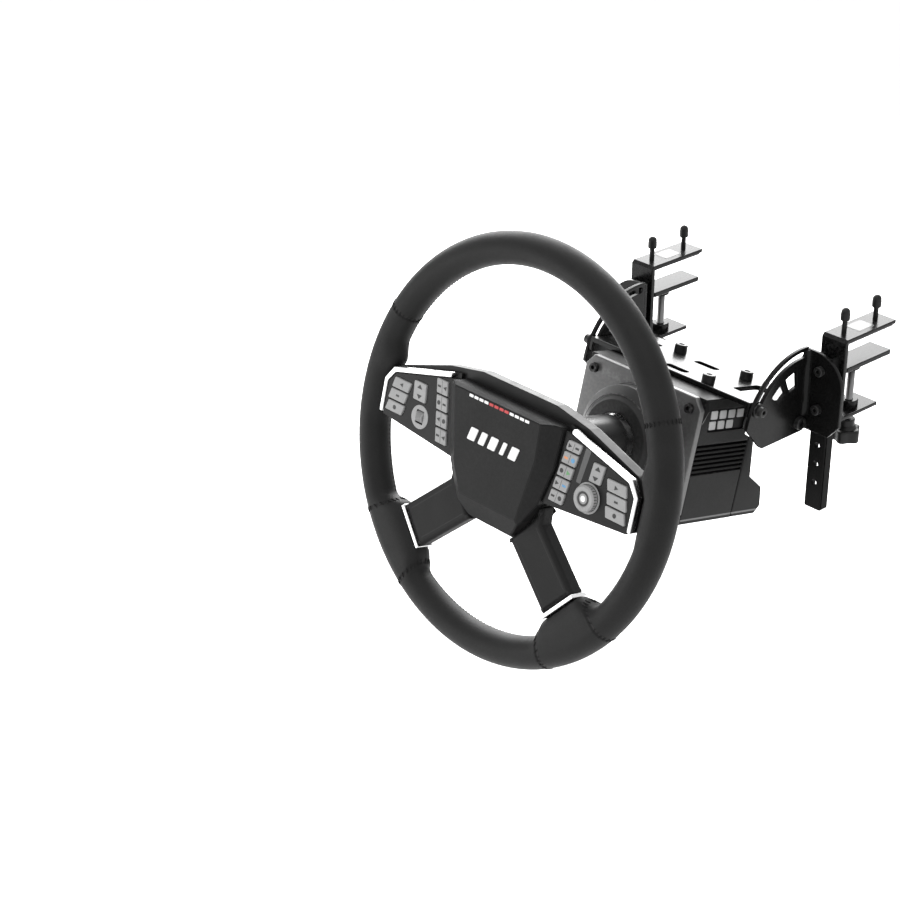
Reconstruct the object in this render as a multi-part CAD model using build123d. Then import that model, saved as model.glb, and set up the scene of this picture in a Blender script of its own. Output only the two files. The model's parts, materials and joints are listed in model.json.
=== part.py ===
"""Desk-mounted racing wheel: a truck-style steering wheel on a direct-drive base with a tilting cradle.

Millimetres, +Z up. The origin is the middle of the desk's front top edge: y = 0 is the edge that the
clamp spines touch, z = 0 is the desk's top face, +X is the driver's right and +Y points away from the
driver. The steering column is modelled in its own frame, where x is the driver's right, v runs up the
wheel's face and a is the distance along the steering axis from the wheel's centre towards the base.
"""

import math
import os

from build123d import *

# ---- where things stand ---------------------------------------------------------------------------
WHEEL_Y = -306.0            # wheel centre in front of the desk edge
WHEEL_Z = -59.0             # wheel centre below the desk top
COLUMN_TILT = 14.0          # steering axis falls towards the base by this angle

# ---- steering wheel --------------------------------------------------------------------------------
RIM_DIAMETER = 400.0
GRIP_RADIUS = 15.5          # half the thickness of the leather grip
CORE_RADIUS = 5.0           # steel ring inside the grip
FRAME_HALF = 2.0            # half the thickness of the steel spider
ARM_WIDTH = 26.0
HUB_RADIUS = 42.0
PANEL_FACE = 12.0           # height of the button panels' faces over the rim's middle plane
PANEL_BACK = 4.5
PAD_EDGE = 15.0             # height of the hub pad's sides, where its facets start
PAD_CHIN = 9.0              # height of its lower edge
PAD_CREST = (22.0, 26.5)    # height of its middle face at the lower crease and at the top
PAD_CREASE = -50.0          # v of the lower crease
SHELL_BACK = -13.0
WALL = 2.5                  # plastic wall
SPOKE_START = (40.0, -58.0)
SPOKE_END = (98.0, -110.0)
SPOKE_WIDTH = 43.0
SPOKE_FACE = 9.0
TRIM_WIDTH = 4.0

# ---- buttons ---------------------------------------------------------------------------------------
KEY_TOP = 13.6
KEY_BOTTOM = 5.4
KEY_GAP = 0.4               # clearance around a key in its pocket
KEY_RIB = 1.6               # distance between stacked keys
BOARD = (2.4, 3.9)          # back and front faces of the button boards

ROLLER = (-110.5, -4.5)     # thumb roller on the left wing
ROLLER_RADIUS = 6.0
ROLLER_WIDTH = 9.0
ROLLER_SINK = 3.2           # its axle below the panel's face

# ---- quick release and base ------------------------------------------------------------------------
ADAPTOR_END = 60.0
ADAPTOR_RADIUS = 30.0
COLLAR_RADIUS = 34.5
COLLAR = (29.0, 57.0)
SPIGOT_RADIUS = 17.0
SHAFT_RADIUS = 20.0
SHAFT_CLEARANCE = 0.05
SHAFT_END = 244.0
BASE_FRONT = 165.0
BASE_PLATE = 6.0
BASE_SPLIT = 248.0
BASE_HALF_WIDTH = 75.0
BASE_TOP = 63.0
BASE_BOTTOM = -63.0
BOSS_RADIUS = 52.0
BOSS_FRONT = 139.0
BEARING_RADIUS = 34.0
BEARING_LENGTH = 12.0
STATOR_RADIUS = 54.0
ROTOR_RADIUS = 38.0
AIR_GAP = 0.8
MAGNETS = (180.0, 230.0)
FIN_COUNT = 7
FIN_TOP = 17.0
FIN_PITCH = 4.6
FIN_SLOT = 2.2
FIN_DEPTH = 3.5

POWER_BUTTON = (50.0, -6.0)
POWER_BUTTON_RADIUS = 7.0
PORTS = ((-41.0, 14.0), (-14.0, 12.0), (12.0, 12.0), (38.0, 12.0))   # socket centres and widths
PORT_V = (-53.0, -45.0)
PORT_FLOOR = 287.5          # the sockets' contact faces, a few millimetres inside the cover's back

# ---- tilting cradle and arc brackets ---------------------------------------------------------------
PIVOT_Y = -28.5
PIVOT_Z = -82.0
SLOT_RADIUS = 70.5          # from the pivot to the middle of the arc slot
SLOT_WIDTH = 6.6
SLOT_ANGLES = (89.0, 154.5)
LOCK_ANGLE = 152.0          # where the locking bolt stands at rest, from +Y
ARC_RADIUS = 77.5
SHEET = 4.0                 # thickness of the steel sheets
ARC_INNER_X = 104.0
CHEEK_OUTER_X = 103.4
CRADLE_A = (198.0, 284.0)
CRADLE_V = (63.0, 68.0)
CRADLE_BOLT_X = 43.0
CRADLE_BOLT_A = (208.0, 266.0)
PIVOT_BOLT_RADIUS = 4.0

# ---- legs and desk clamps --------------------------------------------------------------------------
CLAMP_X = 124.0
CLAMP_WIDTH = 29.0
CLAMP_SHEET = 4.0
SPINE = 5.0
PAD = 2.0
TOP_JAW_LENGTH = 71.0
LOWER_ARM_LENGTH = 53.0
LOWER_ARM_Z = (-79.0, -75.0)
DESK_GAP = 25.0             # desk thickness the clamps are drawn on
PRESS_LENGTH = (2.0, 70.0)
SCREW_Y = 27.0
SCREW_RADIUS = 4.0
KNOB_RADIUS = 15.0
KNOB_Z = (-112.0, -97.0)
JAW_BOLT_Y = (9.5, 57.0)
LEG_WIDTH = 19.0
LEG_DEPTH = 12.0
LEG_Z = (-173.0, -12.0)
LEG_HOLE_PITCH = 20.0
LEG_HOLE_TOP = -24.5
LEG_HOLE_COUNT = 7
FLANGE_WIDTH = 46.0
FLANGE_Z = (-90.0, -7.0)
BOLT_RADIUS = 3.0

COLUMN = Plane(
    origin=(0, WHEEL_Y, WHEEL_Z),
    x_dir=(1, 0, 0),
    z_dir=(0, -math.cos(math.radians(COLUMN_TILT)), math.sin(math.radians(COLUMN_TILT))),
)
RIM_RADIUS = RIM_DIAMETER / 2 - GRIP_RADIUS


# ---- shapes in the column frame, whose z points at the driver (z = -a) ------------------------------
def block(x, v, z):
    """Box between pairs of x, v and z in the column frame."""
    size = (x[1] - x[0], v[1] - v[0], z[1] - z[0])
    middle = ((x[0] + x[1]) / 2, (v[0] + v[1]) / 2, (z[0] + z[1]) / 2)
    return Pos(*middle) * Box(*size)


def rod(radius, a, x=0.0, v=0.0):
    """Cylinder along the steering axis between two distances a."""
    return Pos(x, v, -(a[0] + a[1]) / 2) * Cylinder(radius, abs(a[1] - a[0]))


def prism(points, z, corner=0.0):
    """Prism on an outline of (x, v) points between two heights z, with rounded upright edges."""
    face = make_face(Polyline(*points, close=True))
    if corner:
        face = fillet(face.vertices(), corner)
    return Pos(0, 0, z[0]) * extrude(face, z[1] - z[0])


def turned(radii, a, x=0.0, v=0.0):
    """Cone frustum along the steering axis, radii[0] at a[0] and radii[1] at a[1]."""
    cone = Cone(radii[1], radii[0], a[1] - a[0])
    return Pos(x, v, -(a[0] + a[1]) / 2) * cone


def mirrored(points):
    """The same outline on the driver's other side."""
    return [(-x, v) for x, v in points]


def side_outline(points, side):
    """An outline drawn on the right, put on the side wanted."""
    return points if side > 0 else mirrored(points)


# ---- shapes in the desk frame ----------------------------------------------------------------------
def brick(x, y, z):
    """Box between pairs of x, y and z in the desk frame."""
    size = (x[1] - x[0], y[1] - y[0], z[1] - z[0])
    middle = ((x[0] + x[1]) / 2, (y[0] + y[1]) / 2, (z[0] + z[1]) / 2)
    return Pos(*middle) * Box(*size)


def pin_x(radius, x, y, z):
    """Cylinder along X."""
    return Pos((x[0] + x[1]) / 2, y, z) * Rot(0, 90, 0) * Cylinder(radius, abs(x[1] - x[0]))


def pin_y(radius, y, x, z):
    """Cylinder along Y."""
    return Pos(x, (y[0] + y[1]) / 2, z) * Rot(90, 0, 0) * Cylinder(radius, abs(y[1] - y[0]))


def pin_z(radius, z, x, y):
    """Cylinder along Z."""
    return Pos(x, y, (z[0] + z[1]) / 2) * Cylinder(radius, abs(z[1] - z[0]))


def hexagon_y(flats, y, x, z):
    """Hexagonal prism along Y, by its width across flats."""
    prism_shape = extrude(RegularPolygon(flats / 2, 6, major_radius=False), abs(y[1] - y[0]))
    return Pos(x, max(y), z) * Rot(90, 0, 0) * prism_shape


def sheet_yz(points, x):
    """Plate in the YZ plane on an outline of (y, z) points, between two x."""
    face = make_face(Polyline(*points, close=True))
    return Pos(x[0], 0, 0) * extrude(Plane.YZ * face, x[1] - x[0])


def polar(radius, degrees, y=PIVOT_Y, z=PIVOT_Z):
    """Point of the YZ plane about the tilt pivot, angle from +Y."""
    angle = math.radians(degrees)
    return (y + radius * math.cos(angle), z + radius * math.sin(angle))


# ---- outlines of the wheel's face ------------------------------------------------------------------
PAD_OUTLINE = [(28, -72), (46, PAD_CREASE), (58, -28), (68, 9), (70, 48), (-70, 48), (-68, 9),
               (-58, -28), (-46, PAD_CREASE), (-28, -72)]
WING_OUTLINE = [(70.6, 51.5), (80, 49.5), (156, 30), (165.5, 17), (165.5, -15), (160, -18),
                (58.6, -27), (68.6, 9)]
SHELL_OUTLINE = [(-160, -18), (-60, -28), (-49, -51), (-30, -74), (30, -74), (49, -51), (60, -28),
                 (160, -18), (165.5, -15), (165.5, 17), (156, 32), (90, 53), (48, 60.5), (0, 63), (-48, 60.5), (-90, 53),
                 (-156, 32), (-165.5, 17), (-165.5, -15)]
SPOKE_ANGLE = math.atan2(SPOKE_END[1] - SPOKE_START[1], SPOKE_END[0] - SPOKE_START[0])


def spoke_point(along, across):
    """Point of the right lower spoke, from its start, across being positive upwards."""
    x = SPOKE_START[0] + along * math.cos(SPOKE_ANGLE) - across * math.sin(SPOKE_ANGLE)
    v = SPOKE_START[1] + along * math.sin(SPOKE_ANGLE) + across * math.cos(SPOKE_ANGLE)
    return (x, v)


SPOKE_LENGTH = math.dist(SPOKE_START, SPOKE_END)


def spoke_strip(start, end, width, z, side):
    """Straight bar along a lower spoke between two distances from its start."""
    half = width / 2
    points = [spoke_point(start, -half), spoke_point(end, -half), spoke_point(end, half),
              spoke_point(start, half)]
    return prism(side_outline(points, side), z)


# ---- steering wheel --------------------------------------------------------------------------------
def rim_core():
    return Torus(RIM_RADIUS, CORE_RADIUS)


def frame_arms():
    """The spider's four arms, from the hub to the steel ring."""
    arms = block((-RIM_RADIUS, RIM_RADIUS), (-8, 18), (-FRAME_HALF, FRAME_HALF))
    for side in (-1, 1):
        arms += spoke_strip(-30, 118, ARM_WIDTH, (-FRAME_HALF, FRAME_HALF), side)
    return arms


def wheel_frame():
    frame = frame_arms() + rod(HUB_RADIUS, (-FRAME_HALF, FRAME_HALF))
    frame -= rim_core()
    frame &= Cylinder(RIM_RADIUS, 4 * FRAME_HALF)
    for x, v in wheel_bolt_places():
        frame -= rod(2.75, (-5, 5), x, v)
    return frame


def rim_leather():
    grip = Torus(RIM_RADIUS, GRIP_RADIUS)
    reach = RIM_RADIUS - 2
    for side in (-1, 1):
        grip += spoke_strip(SPOKE_LENGTH + TRIM_WIDTH, SPOKE_LENGTH + 30, SPOKE_WIDTH - 2, (-9, 8), side)
        ends = [(166.2, -17), (reach * 0.985, -26), (reach * 0.97, 38), (160, 30), (166.2, 18)]
        grip += prism(side_outline(ends, side), (-10, 9))
    grip -= rim_core()
    grip -= frame_arms()
    return grip


def wheel_bolt_places():
    """Six places on the 70 mm bolt circle."""
    return [(35 * math.cos(math.radians(60 * i + 30)), 35 * math.sin(math.radians(60 * i + 30)))
            for i in range(6)]


def wheel_screws():
    screws = []
    for x, v in wheel_bolt_places():
        head = rod(4.2, (-5.5, -FRAME_HALF), x, v) - rod(2.0, (-6, -3.2), x, v)
        screws.append(head + rod(2.5, (-FRAME_HALF, 13), x, v))
    return Compound(children=screws)


def sloped_cut(start, end, z, rise):
    """Everything above a plane through the line from start to end at height z, rising to its left."""
    angle = math.radians(rise)
    along = Vector(end[0] - start[0], end[1] - start[1], 0).normalized()
    uphill = Vector(-along.Y * math.cos(angle), along.X * math.cos(angle), math.sin(angle))
    above = Plane(origin=(*start, z), x_dir=along, z_dir=along.cross(uphill))
    return above * Pos(0, 0, 50) * Box(500, 500, 100)


def hub_pad():
    """Shield-shaped pad with sloping side facets, a steep chin and a flat middle face."""
    pad = prism(PAD_OUTLINE, (PANEL_BACK, PAD_CREST[1]), 4)
    middle_slope = math.degrees(math.atan2(PAD_CREST[1] - PAD_CREST[0], PAD_OUTLINE[4][1] - PAD_CREASE))
    cuts = [((-60, PAD_CREASE), (60, PAD_CREASE), PAD_CREST[0], middle_slope)]
    cuts.append((PAD_OUTLINE[-1], PAD_OUTLINE[0], PAD_CHIN, 31))
    cuts.append((PAD_OUTLINE[4], PAD_OUTLINE[5], PAD_EDGE + 5, 70))
    for i in (2, 3, 6, 7):
        cuts.append((PAD_OUTLINE[i], PAD_OUTLINE[i + 1], PAD_EDGE, 33))
    for cut in cuts:
        pad -= sloped_cut(*cut)
    pad -= prism([(x * 0.93, v * 0.93) for x, v in PAD_OUTLINE], (0, PAD_CHIN - WALL))
    return pad - prism([(x * 0.8, v * 0.8) for x, v in PAD_OUTLINE[1:9]], (0, PAD_EDGE))


def hub_back_shell():
    shell = prism(SHELL_OUTLINE, (SHELL_BACK, PANEL_BACK - 0.1))
    inner = [(-158, -15), (-57, -25), (-46.5, -50), (-29, -71), (29, -71), (46.5, -50), (57, -25),
             (158, -15), (162.5, 15), (154, 29), (88, 49.5), (0, 59), (-88, 49.5), (-154, 29), (-162.5, 15)]
    shell -= prism(inner, (SHELL_BACK + WALL, PANEL_BACK))
    shell -= rod(HUB_RADIUS, (0, 30))
    return shell - frame_arms()


def wing_panel(side, keys):
    """Button panel of one wing with a through pocket for each key."""
    panel = prism(side_outline(WING_OUTLINE, side), (PANEL_BACK, PANEL_FACE))
    panel -= trim_bar(side)
    for key in keys:
        panel -= key["pocket"]
    return panel


def trim_bar(side):
    """Bright strip set in the panel's top and outer edges."""
    outer = [(79, 50.5), (155.6, 31), (166, 17.4), (166, -16)]
    inner = [(161.2, -16), (161.2, 15.6), (152.6, 26.4), (78.2, 45.4)]
    bar = prism(side_outline(outer + inner, side), (PANEL_FACE - 4, PANEL_FACE + 1.2))
    return bar & prism(side_outline([(60, 60), (165.5, 60), (165.5, -17), (60, -17)], side), (0, 20))


def spoke_cover(side):
    """Plastic cover of a lower spoke, on both faces of the steel arm."""
    cover = spoke_strip(0, SPOKE_LENGTH, SPOKE_WIDTH, (-8.5, SPOKE_FACE), side)
    cover -= prism(SHELL_OUTLINE, (SHELL_BACK - 1, SPOKE_FACE + 1))
    cover -= frame_arms()
    return cover


def spoke_covers():
    return Compound(children=[spoke_cover(-1), spoke_cover(1)])


def bright_trims():
    """Metal strips of the wings' edges and of the lower spokes' outer ends."""
    bars = [trim_bar(-1), trim_bar(1)]
    for side in (-1, 1):
        depth = (-9.5, SPOKE_FACE + 1)
        bar = spoke_strip(SPOKE_LENGTH, SPOKE_LENGTH + TRIM_WIDTH, SPOKE_WIDTH + 1.5, depth, side)
        bars.append(bar - frame_arms())
    return Compound(children=bars)


def button_boards():
    boards = []
    for side in (-1, 1):
        points = [(62, -20), (156, -12), (156, 25), (84, 43), (75, 43), (75, 9)]
        boards.append(prism(side_outline(points, side), BOARD))
    boards[0] -= ROLLER_POCKET
    return Compound(children=boards)


# ---- keys ------------------------------------------------------------------------------------------
ROLLER_POCKET = block(
    (ROLLER[0] - ROLLER_WIDTH / 2 - KEY_GAP, ROLLER[0] + ROLLER_WIDTH / 2 + KEY_GAP),
    (ROLLER[1] - ROLLER_RADIUS - KEY_GAP, ROLLER[1] + ROLLER_RADIUS + KEY_GAP),
    (0, 20),
)


def key_piece(name, centre, size, lean, side, corner=1.2):
    """One rectangular key with its pocket. lean shifts the key's upper edge sideways."""
    half_w, half_h = size[0] / 2, size[1] / 2

    def outline(grow):
        wide, high = half_w + grow, half_h + grow
        slope = lean / size[1]
        corners = [(-wide, -high), (wide, -high), (wide, high), (-wide, high)]
        return [(centre[0] + x + slope * y, centre[1] + y) for x, y in corners]

    body = prism(side_outline(outline(0), side), (KEY_BOTTOM, KEY_TOP), corner)
    pocket = prism(side_outline(outline(KEY_GAP), side), (0, 20), corner + KEY_GAP)
    return {"name": name, "body": body, "pocket": pocket}


def round_piece(name, centre, radius, top, side):
    """Round knob with its pocket."""
    place = (centre[0] * side, centre[1])
    stem = rod(radius - 4, (-PANEL_FACE - 1, -KEY_BOTTOM), *place)
    body = rod(radius, (-top, -PANEL_FACE - 0.3), *place) + stem
    return {"name": name, "body": body, "pocket": rod(radius - 4 + KEY_GAP, (-20, 0), *place)}


def roller_piece():
    """Thumb roller: a wheel on a sideways axle, standing proud of the panel."""
    place = (*ROLLER, PANEL_FACE - ROLLER_SINK)
    wheel = Pos(*place) * Rot(0, 90, 0) * Cylinder(ROLLER_RADIUS, ROLLER_WIDTH)
    return {"name": "left_roller", "body": wheel, "pocket": ROLLER_POCKET}


def outer_keys(side, prefix):
    """Three stacked keys at the wing's outer end."""
    rows = [(141.0, 17.4), (143.6, 5.6), (145.0, -6.4)]
    return [key_piece(f"{prefix}_outer_key_{i + 1}", centre, (23.0, 10.4), -3.0, side)
            for i, centre in enumerate(rows)]


def strip_keys(side, prefix, count, width, top, bottom):
    """Column of keys beside the hub pad, leaning with the pad's side."""
    keys = []
    pitch = (top[1] - bottom[1]) / count
    slope = (top[0] - bottom[0]) / (top[1] - bottom[1])
    for i in range(count):
        v = top[1] - pitch * (i + 0.5)
        x = bottom[0] + slope * (v - bottom[1])
        size = (width, pitch - KEY_RIB)
        keys.append(key_piece(f"{prefix}_strip_key_{i + 1}", (x, v), size, slope * size[1], side))
    return keys


def left_keys():
    keys = outer_keys(-1, "left")
    keys.append(key_piece("left_arrow_rocker", (115.5, 19.0), (17.0, 18.0), 2.0, -1))
    keys.append(roller_piece())
    return keys + strip_keys(-1, "left", 4, 15.0, (89.0, 40.5), (76.5, -20.0))


def right_keys():
    keys = outer_keys(1, "right")
    keys.append(key_piece("right_arrow_rocker", (116.0, 21.5), (14.0, 18.0), 2.0, 1))
    keys.append(round_piece("right_knob", (110.5, -3.0), 12.0, KEY_TOP + 5.0, 1))
    return keys + strip_keys(1, "right", 5, 17.0, (85.5, 42.0), (75.0, -21.0))


# ---- quick release ---------------------------------------------------------------------------------
def qr_adaptor():
    body = rod(40, (FRAME_HALF, 12)) + rod(ADAPTOR_RADIUS, (12, ADAPTOR_END))
    body -= rod(SPIGOT_RADIUS, (30, ADAPTOR_END + 1))
    for x, v in wheel_bolt_places():
        body -= rod(2.5, (0, 13), x, v)
    return body


def qr_collar():
    ring = rod(COLLAR_RADIUS, COLLAR) - rod(ADAPTOR_RADIUS + SHAFT_CLEARANCE, (COLLAR[0] - 1, COLLAR[1] + 1))
    for i in range(24):
        turn = Rot(0, 0, 15 * i)
        ring -= turn * rod(1.2, (COLLAR[0] + 6, COLLAR[1] - 6), COLLAR_RADIUS + 0.3, 0)
    return ring


# ---- direct-drive base -----------------------------------------------------------------------------
def motor_shaft():
    radius = SHAFT_RADIUS - SHAFT_CLEARANCE
    shaft = rod(SPIGOT_RADIUS, (30, 62)) + rod(30, (ADAPTOR_END + 0.5, 70)) + rod(25, (70, 132))
    return shaft + rod(radius, (132, SHAFT_END))


def shaft_bearings():
    rings = []
    for a in (BOSS_FRONT + 3, SHAFT_END - BEARING_LENGTH):
        ring = rod(BEARING_RADIUS, (a, a + BEARING_LENGTH))
        rings.append(ring - rod(SHAFT_RADIUS, (a - 1, a + BEARING_LENGTH + 1)))
    return Compound(children=rings)


def rotor():
    return rod(ROTOR_RADIUS, MAGNETS) - rod(SHAFT_RADIUS - SHAFT_CLEARANCE, (MAGNETS[0] - 1, MAGNETS[1] + 1))


def stator():
    return rod(STATOR_RADIUS, MAGNETS) - rod(ROTOR_RADIUS + AIR_GAP, (MAGNETS[0] - 1, MAGNETS[1] + 1))


def front_plate():
    edge = [(-66, BASE_TOP), (66, BASE_TOP), (BASE_HALF_WIDTH, 52), (BASE_HALF_WIDTH, -52), (66, BASE_BOTTOM),
            (-66, BASE_BOTTOM), (-BASE_HALF_WIDTH, -52), (-BASE_HALF_WIDTH, 52)]
    plate = prism(edge, (-BASE_FRONT - BASE_PLATE, -BASE_FRONT))
    plate += rod(BOSS_RADIUS, (149, BASE_FRONT + 1))
    plate += turned((38, BOSS_RADIUS), (BOSS_FRONT, 149))
    plate -= rod(BEARING_RADIUS, (BOSS_FRONT + 3, BASE_FRONT + BASE_PLATE + 1))
    plate -= rod(SHAFT_RADIUS + 6.5, (BOSS_FRONT - 1, BOSS_FRONT + 4))
    for x, v in base_screw_places():
        plate -= rod(2.5, (BASE_FRONT - 1, BASE_FRONT + BASE_PLATE + 1), x, v)
    return plate


def base_screw_places():
    return [(sx * 62, sv * 51) for sx in (-1, 1) for sv in (-1, 1)]


def base_screws():
    screws = []
    for x, v in base_screw_places():
        head = rod(4.4, (BASE_FRONT - 4, BASE_FRONT), x, v)
        head -= rod(2.2, (BASE_FRONT - 5, BASE_FRONT - 1.5), x, v)
        screws.append(head + rod(2.5, (BASE_FRONT, BASE_FRONT + 18), x, v))
    return Compound(children=screws)


def base_side_profile():
    """Side outline of the base as (a, v) points."""
    return [(BASE_FRONT + BASE_PLATE, BASE_TOP), (238, BASE_TOP), (242, 24), (258, 17), (266, -22),
            (288, -35), (293, -55), (286, BASE_BOTTOM), (BASE_FRONT + BASE_PLATE, BASE_BOTTOM)]


def base_block(a):
    """The part of the base's profile between two a, full width."""
    outline = [(-point[0], point[1]) for point in base_side_profile()]
    face = make_face(Polyline(*outline, close=True))
    solid = extrude(Plane(origin=(-BASE_HALF_WIDTH, 0, 0), x_dir=(0, 0, 1), z_dir=(-1, 0, 0)) * face,
                    -2 * BASE_HALF_WIDTH)
    return solid & block((-200, 200), (-200, 200), (-a[1], -a[0]))


def base_shell():
    shell = base_block((BASE_FRONT + BASE_PLATE, BASE_SPLIT))
    shell -= rod(STATOR_RADIUS, (BASE_FRONT, 231))
    shell -= rod(BEARING_RADIUS, (200, BASE_SPLIT + 1))
    for side in (-1, 1):
        for i in range(FIN_COUNT):
            v = FIN_TOP - FIN_PITCH * i
            x = sorted((side * (BASE_HALF_WIDTH - FIN_DEPTH), side * (BASE_HALF_WIDTH + 1)))
            shell -= block(x, (v - FIN_SLOT, v), (-BASE_SPLIT - 1, -BASE_FRONT))
        badge = sorted((side * (BASE_HALF_WIDTH - 2), side * (BASE_HALF_WIDTH + 1)))
        shell -= block(badge, (30, 53), (-236, -182))
    for x, v in base_screw_places():
        shell -= rod(2.5, (BASE_FRONT, BASE_FRONT + 18), x, v)
    for x in (-CRADLE_BOLT_X, CRADLE_BOLT_X):
        shell -= cradle_bolt_hole(x, CRADLE_BOLT_A[0], BASE_TOP - 8)
    return shell


def rear_cover():
    cover = base_block((BASE_SPLIT, 300))
    cover -= block((-70, 70), (-58, 10), (-254, -BASE_SPLIT + 1))
    cover -= block((-70, 70), (-58, -30), (-264, -BASE_SPLIT))
    for x, width in PORTS:
        cover -= block((x - width / 2, x + width / 2), PORT_V, (-300, -PORT_FLOOR))
    cover -= rod(POWER_BUTTON_RADIUS + KEY_GAP, (BASE_SPLIT + 5, 300), *POWER_BUTTON)
    return cover


def power_button():
    return rod(POWER_BUTTON_RADIUS, (256, 265), *POWER_BUTTON)


def driver_board():
    return block((-60, 60), (-52, 4), (-252.6, -251.0))


def cradle_bolt_hole(x, a, bottom, radius=4.0):
    """Upright hole in the column frame, from bottom up through the cradle's plate."""
    height = CRADLE_V[1] + 1 - bottom
    return Pos(x, bottom + height / 2, -a) * Rot(90, 0, 0) * Cylinder(radius, height)


# ---- tilting cradle --------------------------------------------------------------------------------
def pivot_in_column():
    """The pivot's (a, v) in the column frame."""
    y, z = PIVOT_Y - WHEEL_Y, PIVOT_Z - WHEEL_Z
    tilt = math.radians(COLUMN_TILT)
    return (y * math.cos(tilt) - z * math.sin(tilt), y * math.sin(tilt) + z * math.cos(tilt))


def lock_in_column():
    """The locking bolt's (a, v) in the column frame at rest."""
    a, v = pivot_in_column()
    angle = math.radians(LOCK_ANGLE + COLUMN_TILT)
    return (a + SLOT_RADIUS * math.cos(angle), v + SLOT_RADIUS * math.sin(angle))


def cross_pin(radius, x, a, v):
    """Cylinder along X in the column frame."""
    return Pos((x[0] + x[1]) / 2, v, -a) * Rot(0, 90, 0) * Cylinder(radius, abs(x[1] - x[0]))


def tilt_cradle():
    cradle = block((-CHEEK_OUTER_X, CHEEK_OUTER_X), CRADLE_V, (-CRADLE_A[1], -CRADLE_A[0]))
    pivot_a, pivot_v = pivot_in_column()
    lock_a, lock_v = lock_in_column()
    for side in (-1, 1):
        x = sorted((side * (CHEEK_OUTER_X - SHEET), side * CHEEK_OUTER_X))
        outline = [(CRADLE_A[0], CRADLE_V[1]), (CRADLE_A[1], CRADLE_V[1]), (CRADLE_A[1] + 2, pivot_v),
                   (pivot_a + 5, pivot_v - 10), (pivot_a - 7, pivot_v - 10), (lock_a + 8, lock_v - 9),
                   (CRADLE_A[0], lock_v - 9)]
        face = make_face(Polyline(*[(-a, v) for a, v in outline], close=True))
        plane = Plane(origin=(x[0], 0, 0), x_dir=(0, 0, 1), z_dir=(-1, 0, 0))
        cradle += extrude(plane * face, -SHEET)
        cradle -= cross_pin(PIVOT_BOLT_RADIUS + SHAFT_CLEARANCE, (x[0] - 1, x[1] + 1), pivot_a, pivot_v)
        cradle -= cross_pin(BOLT_RADIUS, (x[0] - 1, x[1] + 1), lock_a, lock_v)
    for x in (-CRADLE_BOLT_X, CRADLE_BOLT_X):
        for a in CRADLE_BOLT_A:
            cradle -= cradle_bolt_hole(x, a, BASE_TOP - 1)
    slot = block((-14, 14), (BASE_TOP - 1, CRADLE_V[1] + 1), (-216, -206))
    cradle -= slot
    cradle -= Pos(0, 0, -46) * slot
    cradle -= block((-82, -62), (BASE_TOP - 1, CRADLE_V[1] + 1), (-262, -222))
    cradle -= block((62, 82), (BASE_TOP - 1, CRADLE_V[1] + 1), (-262, -222))
    return cradle


def cradle_bolts():
    """Four socket-head screws, the rear two with nuts under the plate's overhang."""
    bolts = []
    for x in (-CRADLE_BOLT_X, CRADLE_BOLT_X):
        for a in CRADLE_BOLT_A:
            bottom = BASE_TOP - 8 if a < 240 else CRADLE_V[0] - 9
            head = Pos(x, CRADLE_V[1] + 4, -a) * Rot(90, 0, 0) * Cylinder(6.5, 8)
            head -= Pos(x, CRADLE_V[1] + 7, -a) * Rot(90, 0, 0) * Cylinder(3.2, 4)
            length = CRADLE_V[1] - bottom
            bolts.append(head + Pos(x, bottom + length / 2, -a) * Rot(90, 0, 0) * Cylinder(4.0, length))
    return Compound(children=bolts)


def lock_bolts():
    """Two screws through the arc slots into the cradle's cheeks, with wide washers outside."""
    a, v = lock_in_column()
    bolts = []
    for side in (-1, 1):
        outside = ARC_INNER_X + SHEET + 0.4
        shank = cross_pin(BOLT_RADIUS, sorted((side * (CHEEK_OUTER_X - SHEET), side * (outside + 1))), a, v)
        washer = cross_pin(7.0, sorted((side * outside, side * (outside + 1.6))), a, v)
        head = cross_pin(5.0, sorted((side * (outside + 1.6), side * (outside + 7.6))), a, v)
        head -= cross_pin(2.5, sorted((side * (outside + 4), side * (outside + 9))), a, v)
        bolts.append(shank + washer + head)
    return Compound(children=bolts)


def pivot_bolts():
    bolts = []
    for side in (-1, 1):
        outside = ARC_INNER_X + SHEET
        span = sorted((side * (CHEEK_OUTER_X - SHEET - 1), side * outside))
        shank = pin_x(PIVOT_BOLT_RADIUS, span, PIVOT_Y, PIVOT_Z)
        head = pin_x(6.5, sorted((side * outside, side * (outside + 5))), PIVOT_Y, PIVOT_Z)
        head -= pin_x(3.0, sorted((side * (outside + 2), side * (outside + 6))), PIVOT_Y, PIVOT_Z)
        bolts.append(shank + head)
    return Compound(children=bolts)


# ---- arc brackets ----------------------------------------------------------------------------------
def sector(radii, angles, x, steps=12):
    """Ring sector about the pivot between two radii and two angles."""
    first, last = angles
    spread = [first + (last - first) * i / steps for i in range(steps + 1)]
    outer = [polar(radii[1], angle) for angle in spread]
    inner = [polar(radii[0], angle) for angle in reversed(spread)]
    return sheet_yz(outer + inner, x)


def leg_hole_heights():
    return [LEG_HOLE_TOP - LEG_HOLE_PITCH * i for i in range(LEG_HOLE_COUNT)]


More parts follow.
